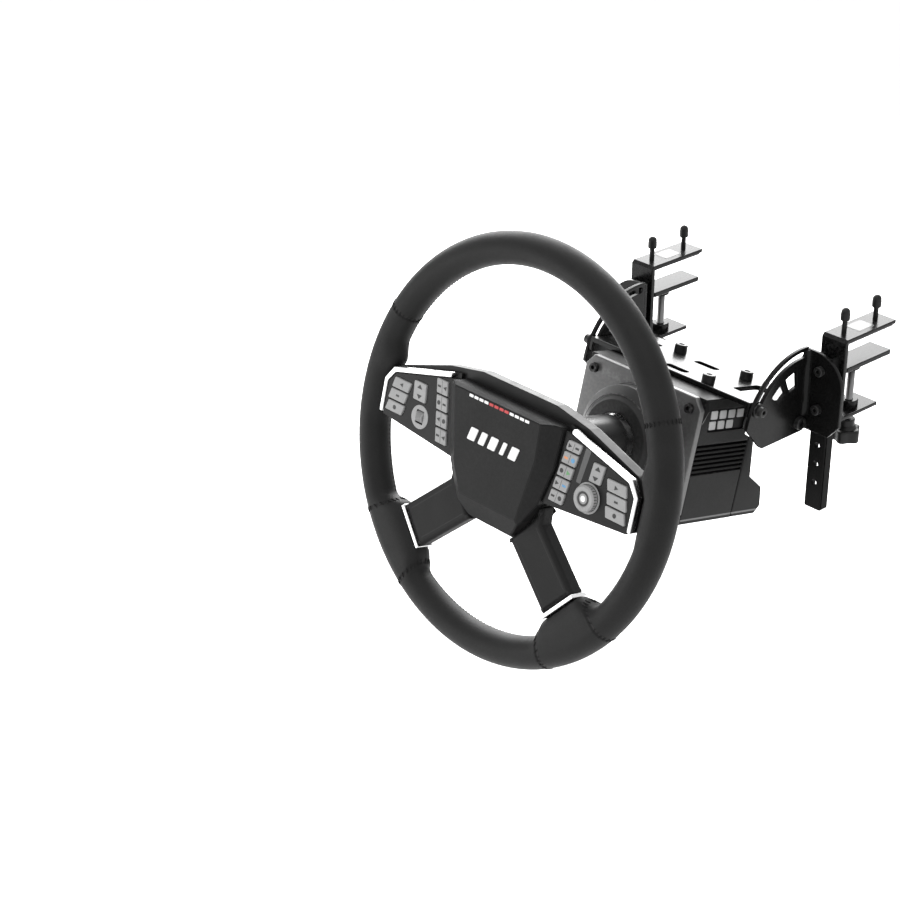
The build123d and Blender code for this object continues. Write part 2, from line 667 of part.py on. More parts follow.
def arc_bracket(side):
    """Bent steel bracket: a fan-shaped plate with the tilt slot, and a flange bolted to the leg."""
    front = -LEG_DEPTH - SPINE - SHEET
    fan = [polar(ARC_RADIUS, 84 + 4.2 * i) for i in range(21)]
    outline = fan + [(-84, -90), (-78, -93), (front + SHEET, -93), (front + SHEET, FLANGE_Z[1])]
    plate = sheet_yz(outline, (ARC_INNER_X, ARC_INNER_X + SHEET))
    corner = FLANGE_WIDTH - 12
    flange_points = [(ARC_INNER_X, FLANGE_Z[0]), (ARC_INNER_X + FLANGE_WIDTH - 12, FLANGE_Z[0]),
                     (ARC_INNER_X + FLANGE_WIDTH, FLANGE_Z[0] + 14)]
    for i in range(9):
        angle = math.radians(90 * i / 8)
        x = ARC_INNER_X + 12 + corner * math.cos(angle)
        flange_points.append((x, FLANGE_Z[1] - corner + corner * math.sin(angle)))
    flange_points.append((ARC_INNER_X, FLANGE_Z[1]))
    face = make_face(Polyline(*flange_points, close=True))
    flange = extrude(Plane(origin=(0, front + SHEET, 0), x_dir=(1, 0, 0), z_dir=(0, -1, 0)) * face, SHEET)
    bracket = plate + flange
    through = (ARC_INNER_X - 1, ARC_INNER_X + SHEET + 1)
    half = SLOT_WIDTH / 2
    bracket -= sector((SLOT_RADIUS - half, SLOT_RADIUS + half), SLOT_ANGLES, through, 24)
    for angle in SLOT_ANGLES:
        bracket -= pin_x(half, through, *polar(SLOT_RADIUS, angle))
    bracket -= sector((40, 57), (98, 114), through)
    bracket -= sector((44, 57), (121, 137), through)
    bracket -= pin_x(PIVOT_BOLT_RADIUS, through, PIVOT_Y, PIVOT_Z)
    for z in carriage_bolt_heights():
        bracket -= pin_y(BOLT_RADIUS, (front - 1, front + SHEET + 1), CLAMP_X, z)
    return bracket if side > 0 else bracket.mirror(Plane.YZ)


def carriage_bolt_heights():
    heights = leg_hole_heights()
    return [heights[0], heights[2]]


def bracket_bolts():
    """Four screws with nuts that hold the arc brackets at the chosen leg holes."""
    bolts = []
    front = -LEG_DEPTH - SPINE - SHEET
    for side in (-1, 1):
        for z in carriage_bolt_heights():
            x = side * CLAMP_X
            head = pin_y(5.0, (front - 5, front), x, z) - pin_y(2.5, (front - 6, front - 2.5), x, z)
            shank = pin_y(BOLT_RADIUS, (front, front + SHEET + 9), x, z)
            nut = hexagon_y(10, (front + SHEET + 3, front + SHEET + 8), x, z)
            bolts.append(head + shank + nut)
    return Compound(children=bolts)


def legs():
    """Two upright channels with a row of height holes."""
    channels = []
    for side in (-1, 1):
        x = side * CLAMP_X
        half = LEG_WIDTH / 2
        leg = brick((x - half, x + half), (-LEG_DEPTH - SPINE, -SPINE), LEG_Z)
        hollow_y = (-LEG_DEPTH - SPINE + 3, -SPINE + 1)
        leg -= brick((x - half + 3, x + half - 3), hollow_y, (LEG_Z[0] - 1, LEG_Z[1] + 1))
        for z in leg_hole_heights():
            leg -= pin_y(BOLT_RADIUS, (-LEG_DEPTH - SPINE - 1, -LEG_DEPTH - SPINE + 4), x, z)
        channels.append(leg)
    return Compound(children=channels)


# ---- desk clamps -----------------------------------------------------------------------------------
def clamp_frame(side):
    x = side * CLAMP_X
    half = CLAMP_WIDTH / 2
    wide = (x - half, x + half)
    top = PAD + CLAMP_SHEET
    frame = brick(wide, (-SPINE, 0), (LOWER_ARM_Z[0], top))
    frame += brick(wide, (-SPINE, TOP_JAW_LENGTH), (PAD, top))
    frame += brick(wide, (-SPINE, LOWER_ARM_LENGTH), LOWER_ARM_Z)
    frame += pin_z(9, (LOWER_ARM_Z[1], LOWER_ARM_Z[1] + 7), x, SCREW_Y)
    frame -= pin_z(SCREW_RADIUS + SHAFT_CLEARANCE, (LOWER_ARM_Z[0] - 1, LOWER_ARM_Z[1] + 8), x, SCREW_Y)
    frame -= brick((x - 8, x + 8), (23, 44), (PAD + CLAMP_SHEET - 1, top + 1))
    for y in JAW_BOLT_Y:
        frame -= pin_z(2.5, (PAD - 1, top + 1), x, y)
    return frame


def jaw_pads():
    """Rubber pads under the top jaws."""
    pads = []
    for x in (-CLAMP_X, CLAMP_X):
        pad = brick((x - 12.5, x + 12.5), (2, TOP_JAW_LENGTH - 2), (0, PAD))
        for y in JAW_BOLT_Y:
            pad -= pin_z(2.5, (-1, PAD + 1), x, y)
        pads.append(pad)
    return Compound(children=pads)


def jaw_bolts():
    """Two tall round-headed screws in each top jaw."""
    bolts = []
    top = PAD + CLAMP_SHEET
    for x in (-CLAMP_X, CLAMP_X):
        for y in JAW_BOLT_Y:
            bolt = pin_z(2.5, (0.6, top + 14), x, y)
            bolt += pin_z(4.6, (top + 13, top + 21), x, y)
            bolt += Pos(x, y, top + 21) * Sphere(4.6)
            bolts.append(bolt)
    return Compound(children=bolts)


def pressure_plate(side):
    """Moving jaw: a steel plate with its rubber face, turned on the screw's tip."""
    x = side * CLAMP_X
    plate = brick((x - 13, x + 13), PRESS_LENGTH, (-DESK_GAP - 5, -DESK_GAP))
    plate += pin_z(8, (-DESK_GAP - 11, -DESK_GAP - 5), x, SCREW_Y)
    plate -= pin_z(SCREW_RADIUS + SHAFT_CLEARANCE, (-DESK_GAP - 12, -DESK_GAP - 4), x, SCREW_Y)
    return plate


def clamp_screw(side):
    return pin_z(SCREW_RADIUS, (KNOB_Z[0] + 3, -DESK_GAP - 4.1), side * CLAMP_X, SCREW_Y)


def clamp_knob(side):
    """Lobed hand knob pressed on the screw."""
    x = side * CLAMP_X
    knob = pin_z(10.5, KNOB_Z, x, SCREW_Y)
    for i in range(5):
        angle = math.radians(72 * i)
        place = (x + 9.4 * math.cos(angle), SCREW_Y + 9.4 * math.sin(angle))
        knob += pin_z(KNOB_RADIUS - 9.4, (KNOB_Z[0], KNOB_Z[1] - 2), *place)
    knob += pin_z(8, (KNOB_Z[1] - 1, KNOB_Z[1] + 8), x, SCREW_Y)
    return knob - pin_z(SCREW_RADIUS, (KNOB_Z[0] + 3, KNOB_Z[1] + 9), x, SCREW_Y)


# ---- all nodes -------------------------------------------------------------------------------------
def column_nodes():
    """Everything drawn in the column frame, by node name."""
    keys_left = left_keys()
    keys_right = right_keys()
    nodes = {
        "rim_core": rim_core(),
        "rim_leather": rim_leather(),
        "wheel_frame": wheel_frame(),
        "wheel_screws": wheel_screws(),
        "hub_pad": hub_pad(),
        "hub_back_shell": hub_back_shell(),
        "left_panel": wing_panel(-1, keys_left),
        "right_panel": wing_panel(1, keys_right),
        "spoke_covers": spoke_covers(),
        "bright_trims": bright_trims(),
        "button_boards": button_boards(),
        "qr_adaptor": qr_adaptor(),
        "qr_collar": qr_collar(),
        "motor_shaft": motor_shaft(),
        "shaft_bearings": shaft_bearings(),
        "rotor": rotor(),
        "stator": stator(),
        "front_plate": front_plate(),
        "base_screws": base_screws(),
        "base_shell": base_shell(),
        "rear_cover": rear_cover(),
        "power_button": power_button(),
        "driver_board": driver_board(),
        "tilt_cradle": tilt_cradle(),
        "cradle_bolts": cradle_bolts(),
        "lock_bolts": lock_bolts(),
    }
    for key in keys_left + keys_right:
        nodes[key["name"]] = key["body"]
    return nodes


def desk_nodes():
    """Everything drawn in the desk frame, by node name."""
    nodes = {
        "pivot_bolts": pivot_bolts(),
        "bracket_bolts": bracket_bolts(),
        "legs": legs(),
        "jaw_pads": jaw_pads(),
        "jaw_bolts": jaw_bolts(),
    }
    for name, side in (("left", -1), ("right", 1)):
        nodes[f"{name}_arc_bracket"] = arc_bracket(side)
        nodes[f"{name}_clamp_frame"] = clamp_frame(side)
        nodes[f"{name}_pressure_plate"] = pressure_plate(side)
        nodes[f"{name}_clamp_screw"] = clamp_screw(side)
        nodes[f"{name}_clamp_knob"] = clamp_knob(side)
    return nodes


def main():
    os.makedirs("parts", exist_ok=True)
    for name, shape in column_nodes().items():
        export_step(COLUMN.location * shape, f"parts/{name}.step")
    for name, shape in desk_nodes().items():
        export_step(shape, f"parts/{name}.step")


main()
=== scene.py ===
"""Looks of a desk-mounted racing wheel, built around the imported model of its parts.

Shapes are drawn in millimetres, either in the steering column's frame (x to the driver's right, y up the
wheel's face, z towards the driver, from the wheel's centre) or in the desk's frame, and are turned into
metres when a piece is made. Each sub-assembly is a class with its sizes, and each finish is a value that
makes one procedural material.
"""

import json
import logging
import math
from collections.abc import Callable
from dataclasses import dataclass
from enum import Enum

import bmesh
import bpy
from mathutils import Matrix, Vector
from mathutils.geometry import tessellate_polygon

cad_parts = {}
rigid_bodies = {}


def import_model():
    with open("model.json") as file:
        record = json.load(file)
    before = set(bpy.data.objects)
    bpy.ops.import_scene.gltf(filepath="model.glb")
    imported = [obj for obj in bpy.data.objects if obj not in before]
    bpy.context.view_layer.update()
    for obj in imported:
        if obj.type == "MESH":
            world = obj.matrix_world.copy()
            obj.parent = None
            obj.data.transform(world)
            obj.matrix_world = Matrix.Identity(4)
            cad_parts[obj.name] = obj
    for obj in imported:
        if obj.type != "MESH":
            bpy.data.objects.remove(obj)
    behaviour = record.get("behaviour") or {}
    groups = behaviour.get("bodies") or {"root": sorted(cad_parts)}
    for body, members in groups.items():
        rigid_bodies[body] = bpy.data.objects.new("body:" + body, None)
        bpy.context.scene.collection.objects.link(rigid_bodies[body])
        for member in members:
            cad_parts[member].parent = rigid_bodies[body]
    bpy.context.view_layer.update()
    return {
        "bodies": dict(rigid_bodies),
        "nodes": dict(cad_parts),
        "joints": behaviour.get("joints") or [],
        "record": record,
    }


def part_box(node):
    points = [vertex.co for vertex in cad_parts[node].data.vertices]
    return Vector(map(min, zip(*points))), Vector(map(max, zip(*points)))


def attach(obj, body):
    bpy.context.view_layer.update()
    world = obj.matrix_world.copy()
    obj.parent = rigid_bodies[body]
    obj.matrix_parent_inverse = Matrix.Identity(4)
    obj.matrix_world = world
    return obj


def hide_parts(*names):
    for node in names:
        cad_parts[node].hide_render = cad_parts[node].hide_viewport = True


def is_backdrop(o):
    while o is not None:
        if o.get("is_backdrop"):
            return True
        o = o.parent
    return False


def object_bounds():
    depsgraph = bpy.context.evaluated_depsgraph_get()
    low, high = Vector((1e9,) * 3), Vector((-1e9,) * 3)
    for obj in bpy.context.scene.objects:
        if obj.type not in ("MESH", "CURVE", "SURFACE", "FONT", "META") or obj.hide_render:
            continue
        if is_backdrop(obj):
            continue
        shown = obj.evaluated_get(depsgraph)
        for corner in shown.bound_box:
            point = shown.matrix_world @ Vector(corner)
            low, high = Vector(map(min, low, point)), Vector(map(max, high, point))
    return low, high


LOG = logging.getLogger("racing_wheel")
MM = 0.001
Point = tuple[float, float]
Outline = list[Point]


# ---- outlines ---------------------------------------------------------------------------------------
def arc(radius: float, first: float, last: float, steps: int, at: Point = (0.0, 0.0)) -> Outline:
    """Points along a circular arc, both ends included.

    Args:
        radius: Radius of the arc.
        first: Angle of the first point, in degrees.
        last: Angle of the last point, in degrees.
        steps: Number of chords.
        at: Centre of the arc.

    Returns:
        The points in order.
    """
    angles = [math.radians(first + (last - first) * i / steps) for i in range(steps + 1)]
    return [(at[0] + radius * math.cos(a), at[1] + radius * math.sin(a)) for a in angles]


def circle(radius: float, at: Point = (0.0, 0.0), steps: int = 32) -> Outline:
    """Points of a whole circle, without a repeated end."""
    return arc(radius, 0.0, 360.0, steps, at)[:-1]


def polygon(flats: float, sides: int, at: Point = (0.0, 0.0)) -> Outline:
    """Regular polygon by its width across flats."""
    return circle(flats / 2 / math.cos(math.pi / sides), at, sides)


def rectangle(low: Point, high: Point) -> Outline:
    """Rectangle between two corners."""
    return [low, (high[0], low[1]), high, (low[0], high[1])]


def turned_left(points: Outline) -> Outline:
    """The outline in counter-clockwise order.

    Args:
        points: Corners of a closed outline.

    Returns:
        The outline.
    """
    pairs = zip(points, points[1:] + points[:1])
    area = sum(a[0] * b[1] - b[0] * a[1] for a, b in pairs)
    return list(points) if area > 0 else list(reversed(points))


def mirrored(points: Outline) -> Outline:
    """The same outline on the driver's other side."""
    return [(-x, y) for x, y in points]


def softened(points: Outline, radius: float, steps: int = 4) -> Outline:
    """The outline with each corner turned into an arc.

    Args:
        points: Corners of a closed outline.
        radius: Radius of the arcs, which shrinks where a side is short.
        steps: Number of chords in each arc.

    Returns:
        The rounded outline.
    """
    made: Outline = []
    count = len(points)
    for i, corner in enumerate(points):
        here = Vector(corner)
        before = Vector(points[i - 1]) - here
        after = Vector(points[(i + 1) % count]) - here
        half = before.angle(after) / 2
        if half > math.radians(89):
            made.append(tuple(corner))
            continue
        reach = min(radius / math.tan(half), 0.48 * before.length, 0.48 * after.length)
        start = here + before.normalized() * reach
        end = here + after.normalized() * reach
        for k in range(steps + 1):
            t = k / steps
            point = start.lerp(here, t).lerp(here.lerp(end, t), t)
            made.append((point.x, point.y))
    return made


def grown(points: Outline, by: float) -> Outline:
    """The counter-clockwise outline moved outwards, or inwards when the amount is negative.

    Args:
        points: Corners of a closed outline.
        by: Distance outwards.

    Returns:
        The outline.
    """
    made: Outline = []
    count = len(points)
    for i, corner in enumerate(points):
        here = Vector(corner)
        into = (here - Vector(points[i - 1])).normalized()
        away = (Vector(points[(i + 1) % count]) - here).normalized()
        first, second = Vector((into.y, -into.x)), Vector((away.y, -away.x))
        share = max(0.35, 1 + first.dot(second))
        shift = (first + second) * (by / share)
        made.append((here.x + shift.x, here.y + shift.y))
    return made


# ---- solids -----------------------------------------------------------------------------------------
class Solid:
    """A drawing of closed shapes, in millimetres, that becomes one mesh."""

    def __init__(self) -> None:
        """Starts with nothing drawn."""
        self.mesh = bmesh.new()

    def ring(self, points: Outline, height: float) -> list:
        """Adds a loop of vertices at one height and returns it."""
        return [self.mesh.verts.new((x, y, height)) for x, y in points]

    def wall(self, low: list, high: list) -> None:
        """Joins two loops of equal length with quads."""
        count = len(low)
        for i in range(count):
            k = (i + 1) % count
            self.mesh.faces.new((low[i], low[k], high[k], high[i]))

    def lid(self, loops: list[list]) -> None:
        """Closes an outer loop, less the loops inside it, with triangles."""
        flat = [v for loop in loops for v in loop]
        for triangle in tessellate_polygon([[v.co for v in loop] for loop in loops]):
            self.mesh.faces.new([flat[i] for i in triangle])

    def slab(
        self,
        outline: Outline,
        low: float,
        high: float,
        edge: float | tuple[float, float] = 0.4,
        holes: tuple = (),
        recesses: tuple = (),
        rounds: int = 3,
        place: Matrix | None = None,
    ) -> "Solid":
        """Adds a plate with rounded rims.

        Args:
            outline: Outer outline in x and y.
            low: Height of the back face.
            high: Height of the front face.
            edge: Radius of the rims, or the back rim's and the front rim's.
            holes: Outlines cut right through.
            recesses: Pairs of outline and depth sunk in the front face.
            rounds: Number of chords in each rim.
            place: Where the plate goes, when it isn't drawn in place.

        Returns:
            This drawing.
        """
        made = Solid()
        back, front = edge if isinstance(edge, tuple) else (edge, edge)
        levels = made.rim_levels(low, high, back, front, rounds)
        outer = [made.ring(grown(turned_left(outline), -inset), z) for inset, z in levels]
        inner = [
            [made.ring(grown(turned_left(hole), inset / 2), z) for inset, z in levels] for hole in holes
        ]
        for rings in [outer, *inner]:
            for first, second in zip(rings, rings[1:]):
                made.wall(first, second)
        top = [outer[-1]] + [rings[-1] for rings in inner]
        for shape, depth in recesses:
            top.append(made.sink(turned_left(shape), high, depth))
        made.lid(top)
        made.lid([outer[0]] + [rings[0] for rings in inner])
        return self.take(made, place)

    def sink(self, shape: Outline, height: float, depth: float) -> list:
        """Adds a recess's walls and floor, and returns its upper loop.

        Args:
            shape: Outline of the recess.
            height: Height of the face.
            depth: Depth of the recess.

        Returns:
            The upper loop of vertices.
        """
        chamfer = min(0.25, depth / 3)
        loops = [(chamfer, height), (0.0, height - chamfer), (0.0, height - depth)]
        rings = [self.ring(grown(shape, by), z) for by, z in loops]
        for first, second in zip(rings, rings[1:]):
            self.wall(first, second)
        self.lid([rings[-1]])
        return rings[0]

    @staticmethod
    def rim_levels(low: float, high: float, back: float, front: float, rounds: int) -> list[Point]:
        """Pairs of inset and height from the back face to the front face.

        Args:
            low: Height of the back face.
            high: Height of the front face.
            back: Radius of the back rim.
            front: Radius of the front rim.
            rounds: Number of chords in a rim.

        Returns:
            The levels in order.
        """
        levels: list[Point] = []
        for k in range(rounds + 1):
            turn = math.pi / 2 * k / rounds
            levels.append((back * (1 - math.sin(turn)), low + back * (1 - math.cos(turn))))
        for k in range(rounds + 1):
            turn = math.pi / 2 * k / rounds
            levels.append((front * (1 - math.cos(turn)), high - front * (1 - math.sin(turn))))
        return levels

    def turned(self, profile: Outline, steps: int = 48, place: Matrix | None = None) -> "Solid":
        """Adds a closed profile of (radius, height) points turned about the z axis.

        Args:
            profile: Closed outline as (radius, height).
            steps: Chords in a full turn.
            place: Where it goes.

        Returns:
            This drawing.
        """
        made = Solid()
        rings = []
        for radius, height in profile:
            if radius < 1e-6:
                rings.append([made.mesh.verts.new((0, 0, height))])
            else:
                rings.append(made.ring(circle(radius, steps=steps), height))
        for first, second in zip(rings, rings[1:] + rings[:1]):
            made.band(first, second)
        return self.take(made, place)

    def band(self, first: list, second: list) -> None:
        """Joins two rings of a turned shape, either of which may be a point on the axis.

        Args:
            first: First ring.
            second: Second ring.
        """
        if len(first) == 1 and len(second) == 1:
            return
        count = max(len(first), len(second))
        for i in range(count):
            k = (i + 1) % count
            corners = [first[i % len(first)], first[k % len(first)]]
            corners += [second[k % len(second)], second[i % len(second)]]
            unique = list(dict.fromkeys(corners))
            self.mesh.faces.new(unique)

    def shaved(self, point: Vector, normal: Vector) -> "Solid":
        """Cuts away everything beyond a plane and closes the cut.

        Args:
            point: A point of the plane.
            normal: Normal of the plane, towards the side that is cut away.

        Returns:
            This drawing.
        """
        every = self.mesh.verts[:] + self.mesh.edges[:] + self.mesh.faces[:]
        cut = bmesh.ops.bisect_plane(
            self.mesh, geom=every, plane_co=point, plane_no=normal, clear_outer=True, dist=1e-5
        )
        edges = [e for e in cut["geom_cut"] if isinstance(e, bmesh.types.BMEdge)]
        bmesh.ops.holes_fill(self.mesh, edges=edges)
        return self

    def eased(self, width: float, rounds: int = 3, sharper: float = 18.0) -> "Solid":
        """Rounds every edge that turns by more than an angle.

        Args:
            width: Width of the rounding.
            rounds: Number of chords in a rounding.
            sharper: Least turn of an edge, in degrees.

        Returns:
            This drawing.
        """
        bmesh.ops.remove_doubles(self.mesh, verts=self.mesh.verts[:], dist=1e-4)
        bmesh.ops.dissolve_limit(
            self.mesh, angle_limit=math.radians(1), verts=self.mesh.verts[:], edges=self.mesh.edges[:]
        )
        limit = math.radians(sharper)
        edges = [e for e in self.mesh.edges if len(e.link_faces) == 2 and e.calc_face_angle(0) > limit]
        bmesh.ops.bevel(
            self.mesh, geom=edges, offset=width, segments=rounds, affect="EDGES", clamp_overlap=True
        )
        return self

    def take(self, other: "Solid", place: Matrix | None = None) -> "Solid":
        """Adds another drawing to this one, placed by a matrix, and returns this one.

        Args:
            other: The drawing to add.
            place: Where it goes.

        Returns:
            This drawing.
        """
        if place is not None:
            other.mesh.transform(place)
        scrap = bpy.data.meshes.new("scrap")
        other.mesh.to_mesh(scrap)
        other.mesh.free()
        self.mesh.from_mesh(scrap)
        bpy.data.meshes.remove(scrap)
        return self


def shift(x: float, y: float, z: float) -> Matrix:
    """Matrix that moves a drawing."""
    return Matrix.Translation((x, y, z))


def frame_of(origin: tuple, x_axis: tuple, z_axis: tuple) -> Matrix:
    """Matrix of a frame with its origin, x direction and z direction.

    Args:
        origin: The frame's origin.
        x_axis: Direction of the frame's x.
        z_axis: Direction of the frame's z.

    Returns:
        The matrix.
    """
    z_dir = Vector(z_axis).normalized()
    x_dir = Vector(x_axis).normalized()
    y_dir = z_dir.cross(x_dir)
    turn = Matrix((x_dir, y_dir, z_dir)).transposed().to_4x4()
    return Matrix.Translation(origin) @ turn


# Side plates are drawn with x along +Y and y along +Z, so their thickness runs along +X.
SIDE_VIEW = frame_of((0, 0, 0), (0, 1, 0), (1, 0, 0))
# Front plates are drawn with x along +X and y along +Z, so their thickness runs along -Y.
FRONT_VIEW = frame_of((0, 0, 0), (1, 0, 0), (0, -1, 0))
# Base sides are drawn in the column frame with x along the axis away from the driver and y up.
BASE_SIDE = frame_of((0, 0, 0), (0, 0, -1), (1, 0, 0))
FLIP = Matrix.Scale(-1, 4, (1, 0, 0))
BASE_SIDES = (BASE_SIDE, FLIP @ BASE_SIDE)


def hex_screw(head: float, height: float, shank: float, length: float, socket: float) -> Solid:
    """Socket-head screw that points along -z, with its head's underside at 0.

    Args:
        head: Radius of the head.
        height: Height of the head.
        shank: Radius of the shank.
        length: Length of the shank.
        socket: Width of the hexagonal socket across flats.

    Returns:
        The drawing of the screw.
    """
    recess = (polygon(socket, 6), height * 0.55)
    screw = Solid().slab(circle(head), 0, height, edge=(0.15, min(0.9, height / 4)), recesses=(recess,))
    profile = [(0, -length), (shank - 0.5, -length), (shank, -length + 0.5), (shank, 0.02), (0, 0.02)]
    return screw.turned(profile, steps=24)


# ---- materials --------------------------------------------------------------------------------------
class Grain(Enum):
    """How a surface is textured."""

    MOULDED = "moulded"
    LEATHER = "leather"
    BRUSHED = "brushed"
    COATED = "coated"


Colour = tuple[float, float, float]


def grey(level: int) -> Colour:
    """Neutral colour from an 8-bit display level.

    Args:
        level: Level from 0 to 255.

    Returns:
        The linear colour.
    """
    value = level / 255
    linear = value / 12.92 if value <= 0.04045 else ((value + 0.055) / 1.055) ** 2.4
    return (linear, linear, linear)


class Wiring:
    """Adds and joins nodes in one node tree."""

    def __init__(self, tree: bpy.types.NodeTree) -> None:
        """Keeps the tree that nodes go into."""
        self.tree = tree

    def node(self, kind: str, settings: dict | None = None, inputs: dict | None = None) -> bpy.types.Node:
        """Adds a node.

        Args:
            kind: The node's type name.
            settings: Properties of the node.
            inputs: Values or output sockets for its inputs, by name or index.

        Returns:
            The node.
        """
        made = self.tree.nodes.new(kind)
        for key, value in (settings or {}).items():
            setattr(made, key, value)
        for key, value in (inputs or {}).items():
            if isinstance(value, bpy.types.NodeSocket):
                self.tree.links.new(value, made.inputs[key])
            else:
                made.inputs[key].default_value = value
        return made

    def maths(self, operation: str, first: object, second: object = 0.0, clamp: bool = False) -> object:
        """Adds a Math node and returns its output."""
        settings = {"operation": operation, "use_clamp": clamp}
        return self.node("ShaderNodeMath", settings, {0: first, 1: second}).outputs[0]

    def spread(self, value: object, low: float, high: float) -> object:
        """Stretches the range from low to high over 0 to 1, clamped."""
        inputs = {"Value": value, "From Min": low, "From Max": high}
        return self.node("ShaderNodeMapRange", {"clamp": True}, inputs).outputs["Result"]


class Effects:
    """Node groups that the finishes share, each built once."""

    made: dict[str, bpy.types.NodeTree] = {}

    @classmethod
    def group(cls, name: str, inputs: dict[str, float], outputs: tuple[str, ...]) -> tuple:
        """Starts a node group with a point input, named values and named outputs.

        Args:
            name: Name of the group.
            inputs: Default values by name.
            outputs: Names of the outputs.

        Returns:
            The wiring, the input sockets and the output sockets.
        """
        tree = bpy.data.node_groups.new(name, "ShaderNodeTree")
        tree.interface.new_socket("Place", in_out="INPUT", socket_type="NodeSocketVector")
        for key, value in inputs.items():
            socket = tree.interface.new_socket(key, in_out="INPUT", socket_type="NodeSocketFloat")
            socket.default_value = value
        for key in outputs:
            tree.interface.new_socket(key, in_out="OUTPUT", socket_type="NodeSocketFloat")
        wiring = Wiring(tree)
        cls.made[name] = tree
        return wiring, wiring.node("NodeGroupInput").outputs, wiring.node("NodeGroupOutput").inputs

    @classmethod
    def grain(cls, kind: Grain) -> bpy.types.NodeTree:
        """Relief of a surface, with its height and the mask of its hollows.

        Args:
            kind: Which relief.

        Returns:
            The node group.
        """
        name = f"{kind.value}_grain"
        if name in cls.made:
            return cls.made[name]
        wiring, given, wanted = cls.group(name, {"Scale": 900.0}, ("Height", "Hollows"))
        place, scale = given["Place"], given["Scale"]
        if kind is Grain.LEATHER:
            settings = {"feature": "DISTANCE_TO_EDGE"}
            cells = wiring.node("ShaderNodeTexVoronoi", settings, {"Vector": place, "Scale": scale})
            fine = wiring.maths("MULTIPLY", scale, 3.1)
            pores = wiring.node("ShaderNodeTexNoise", None, {"Vector": place, "Scale": fine, "Detail": 3.0})
            domes = wiring.spread(cells.outputs["Distance"], 0.0, 0.28)
            height = wiring.maths("MULTIPLY_ADD", pores.outputs["Fac"], 0.35)
            wiring.tree.links.new(domes, height.node.inputs[2])
            hollows = wiring.maths("SUBTRACT", 1.0, domes, clamp=True)
        elif kind is Grain.BRUSHED:
            settings = {"vector_type": "POINT"}
            stretched = wiring.node(
                "ShaderNodeMapping", settings, {"Vector": place, "Scale": (0.04, 1.0, 1.0)}
            )
            inputs = {"Vector": stretched.outputs[0], "Scale": scale, "Detail": 4.0, "Roughness": 0.7}
            lines = wiring.node("ShaderNodeTexNoise", None, inputs)
            height = lines.outputs["Fac"]
            hollows = wiring.spread(height, 0.6, 0.35)
        elif kind is Grain.COATED:
            peel = wiring.node("ShaderNodeTexNoise", None, {"Vector": place, "Scale": scale, "Detail": 2.0})
            fine = wiring.maths("MULTIPLY", scale, 2.7)
            specks = wiring.node("ShaderNodeTexVoronoi", None, {"Vector": place, "Scale": fine})
            height = wiring.maths("MULTIPLY_ADD", specks.outputs["Distance"], 0.4)
            wiring.tree.links.new(peel.outputs["Fac"], height.node.inputs[2])
            hollows = wiring.spread(peel.outputs["Fac"], 0.55, 0.3)
        else:
            inputs = {"Vector": place, "Scale": scale, "Detail": 5.0, "Roughness": 0.62}
            sparks = wiring.node("ShaderNodeTexNoise", None, inputs)
            height = sparks.outputs["Fac"]
            hollows = wiring.spread(height, 0.52, 0.36)
        wiring.tree.links.new(height, wanted["Height"])
        wiring.tree.links.new(hollows, wanted["Hollows"])
        return cls.made[name]

    @classmethod
    def wear(cls) -> bpy.types.NodeTree:
        """Masks of rubbed edges and of cloudy handling marks.

        Returns:
            The node group.
        """
        if "wear" in cls.made:
            return cls.made["wear"]
        wiring, given, wanted = cls.group("wear", {"Scale": 40.0, "Edges": 0.5}, ("Rubbed", "Cloud"))
        place, scale = given["Place"], given["Scale"]
        cloud = wiring.node("ShaderNodeTexNoise", None, {"Vector": place, "Scale": scale, "Detail": 4.0})
        broken = wiring.maths("MULTIPLY", scale, 9.0)
        chips = wiring.node("ShaderNodeTexNoise", None, {"Vector": place, "Scale": broken, "Detail": 3.0})
        sharp = wiring.node("ShaderNodeNewGeometry").outputs["Pointiness"]
        raised = wiring.spread(sharp, 0.52, 0.62)
        rubbed = wiring.maths("MULTIPLY", raised, wiring.spread(chips.outputs["Fac"], 0.42, 0.62))
        wiring.tree.links.new(wiring.maths("MULTIPLY", rubbed, given["Edges"]), wanted["Rubbed"])
        wiring.tree.links.new(wiring.spread(cloud.outputs["Fac"], 0.32, 0.7), wanted["Cloud"])
        return cls.made["wear"]


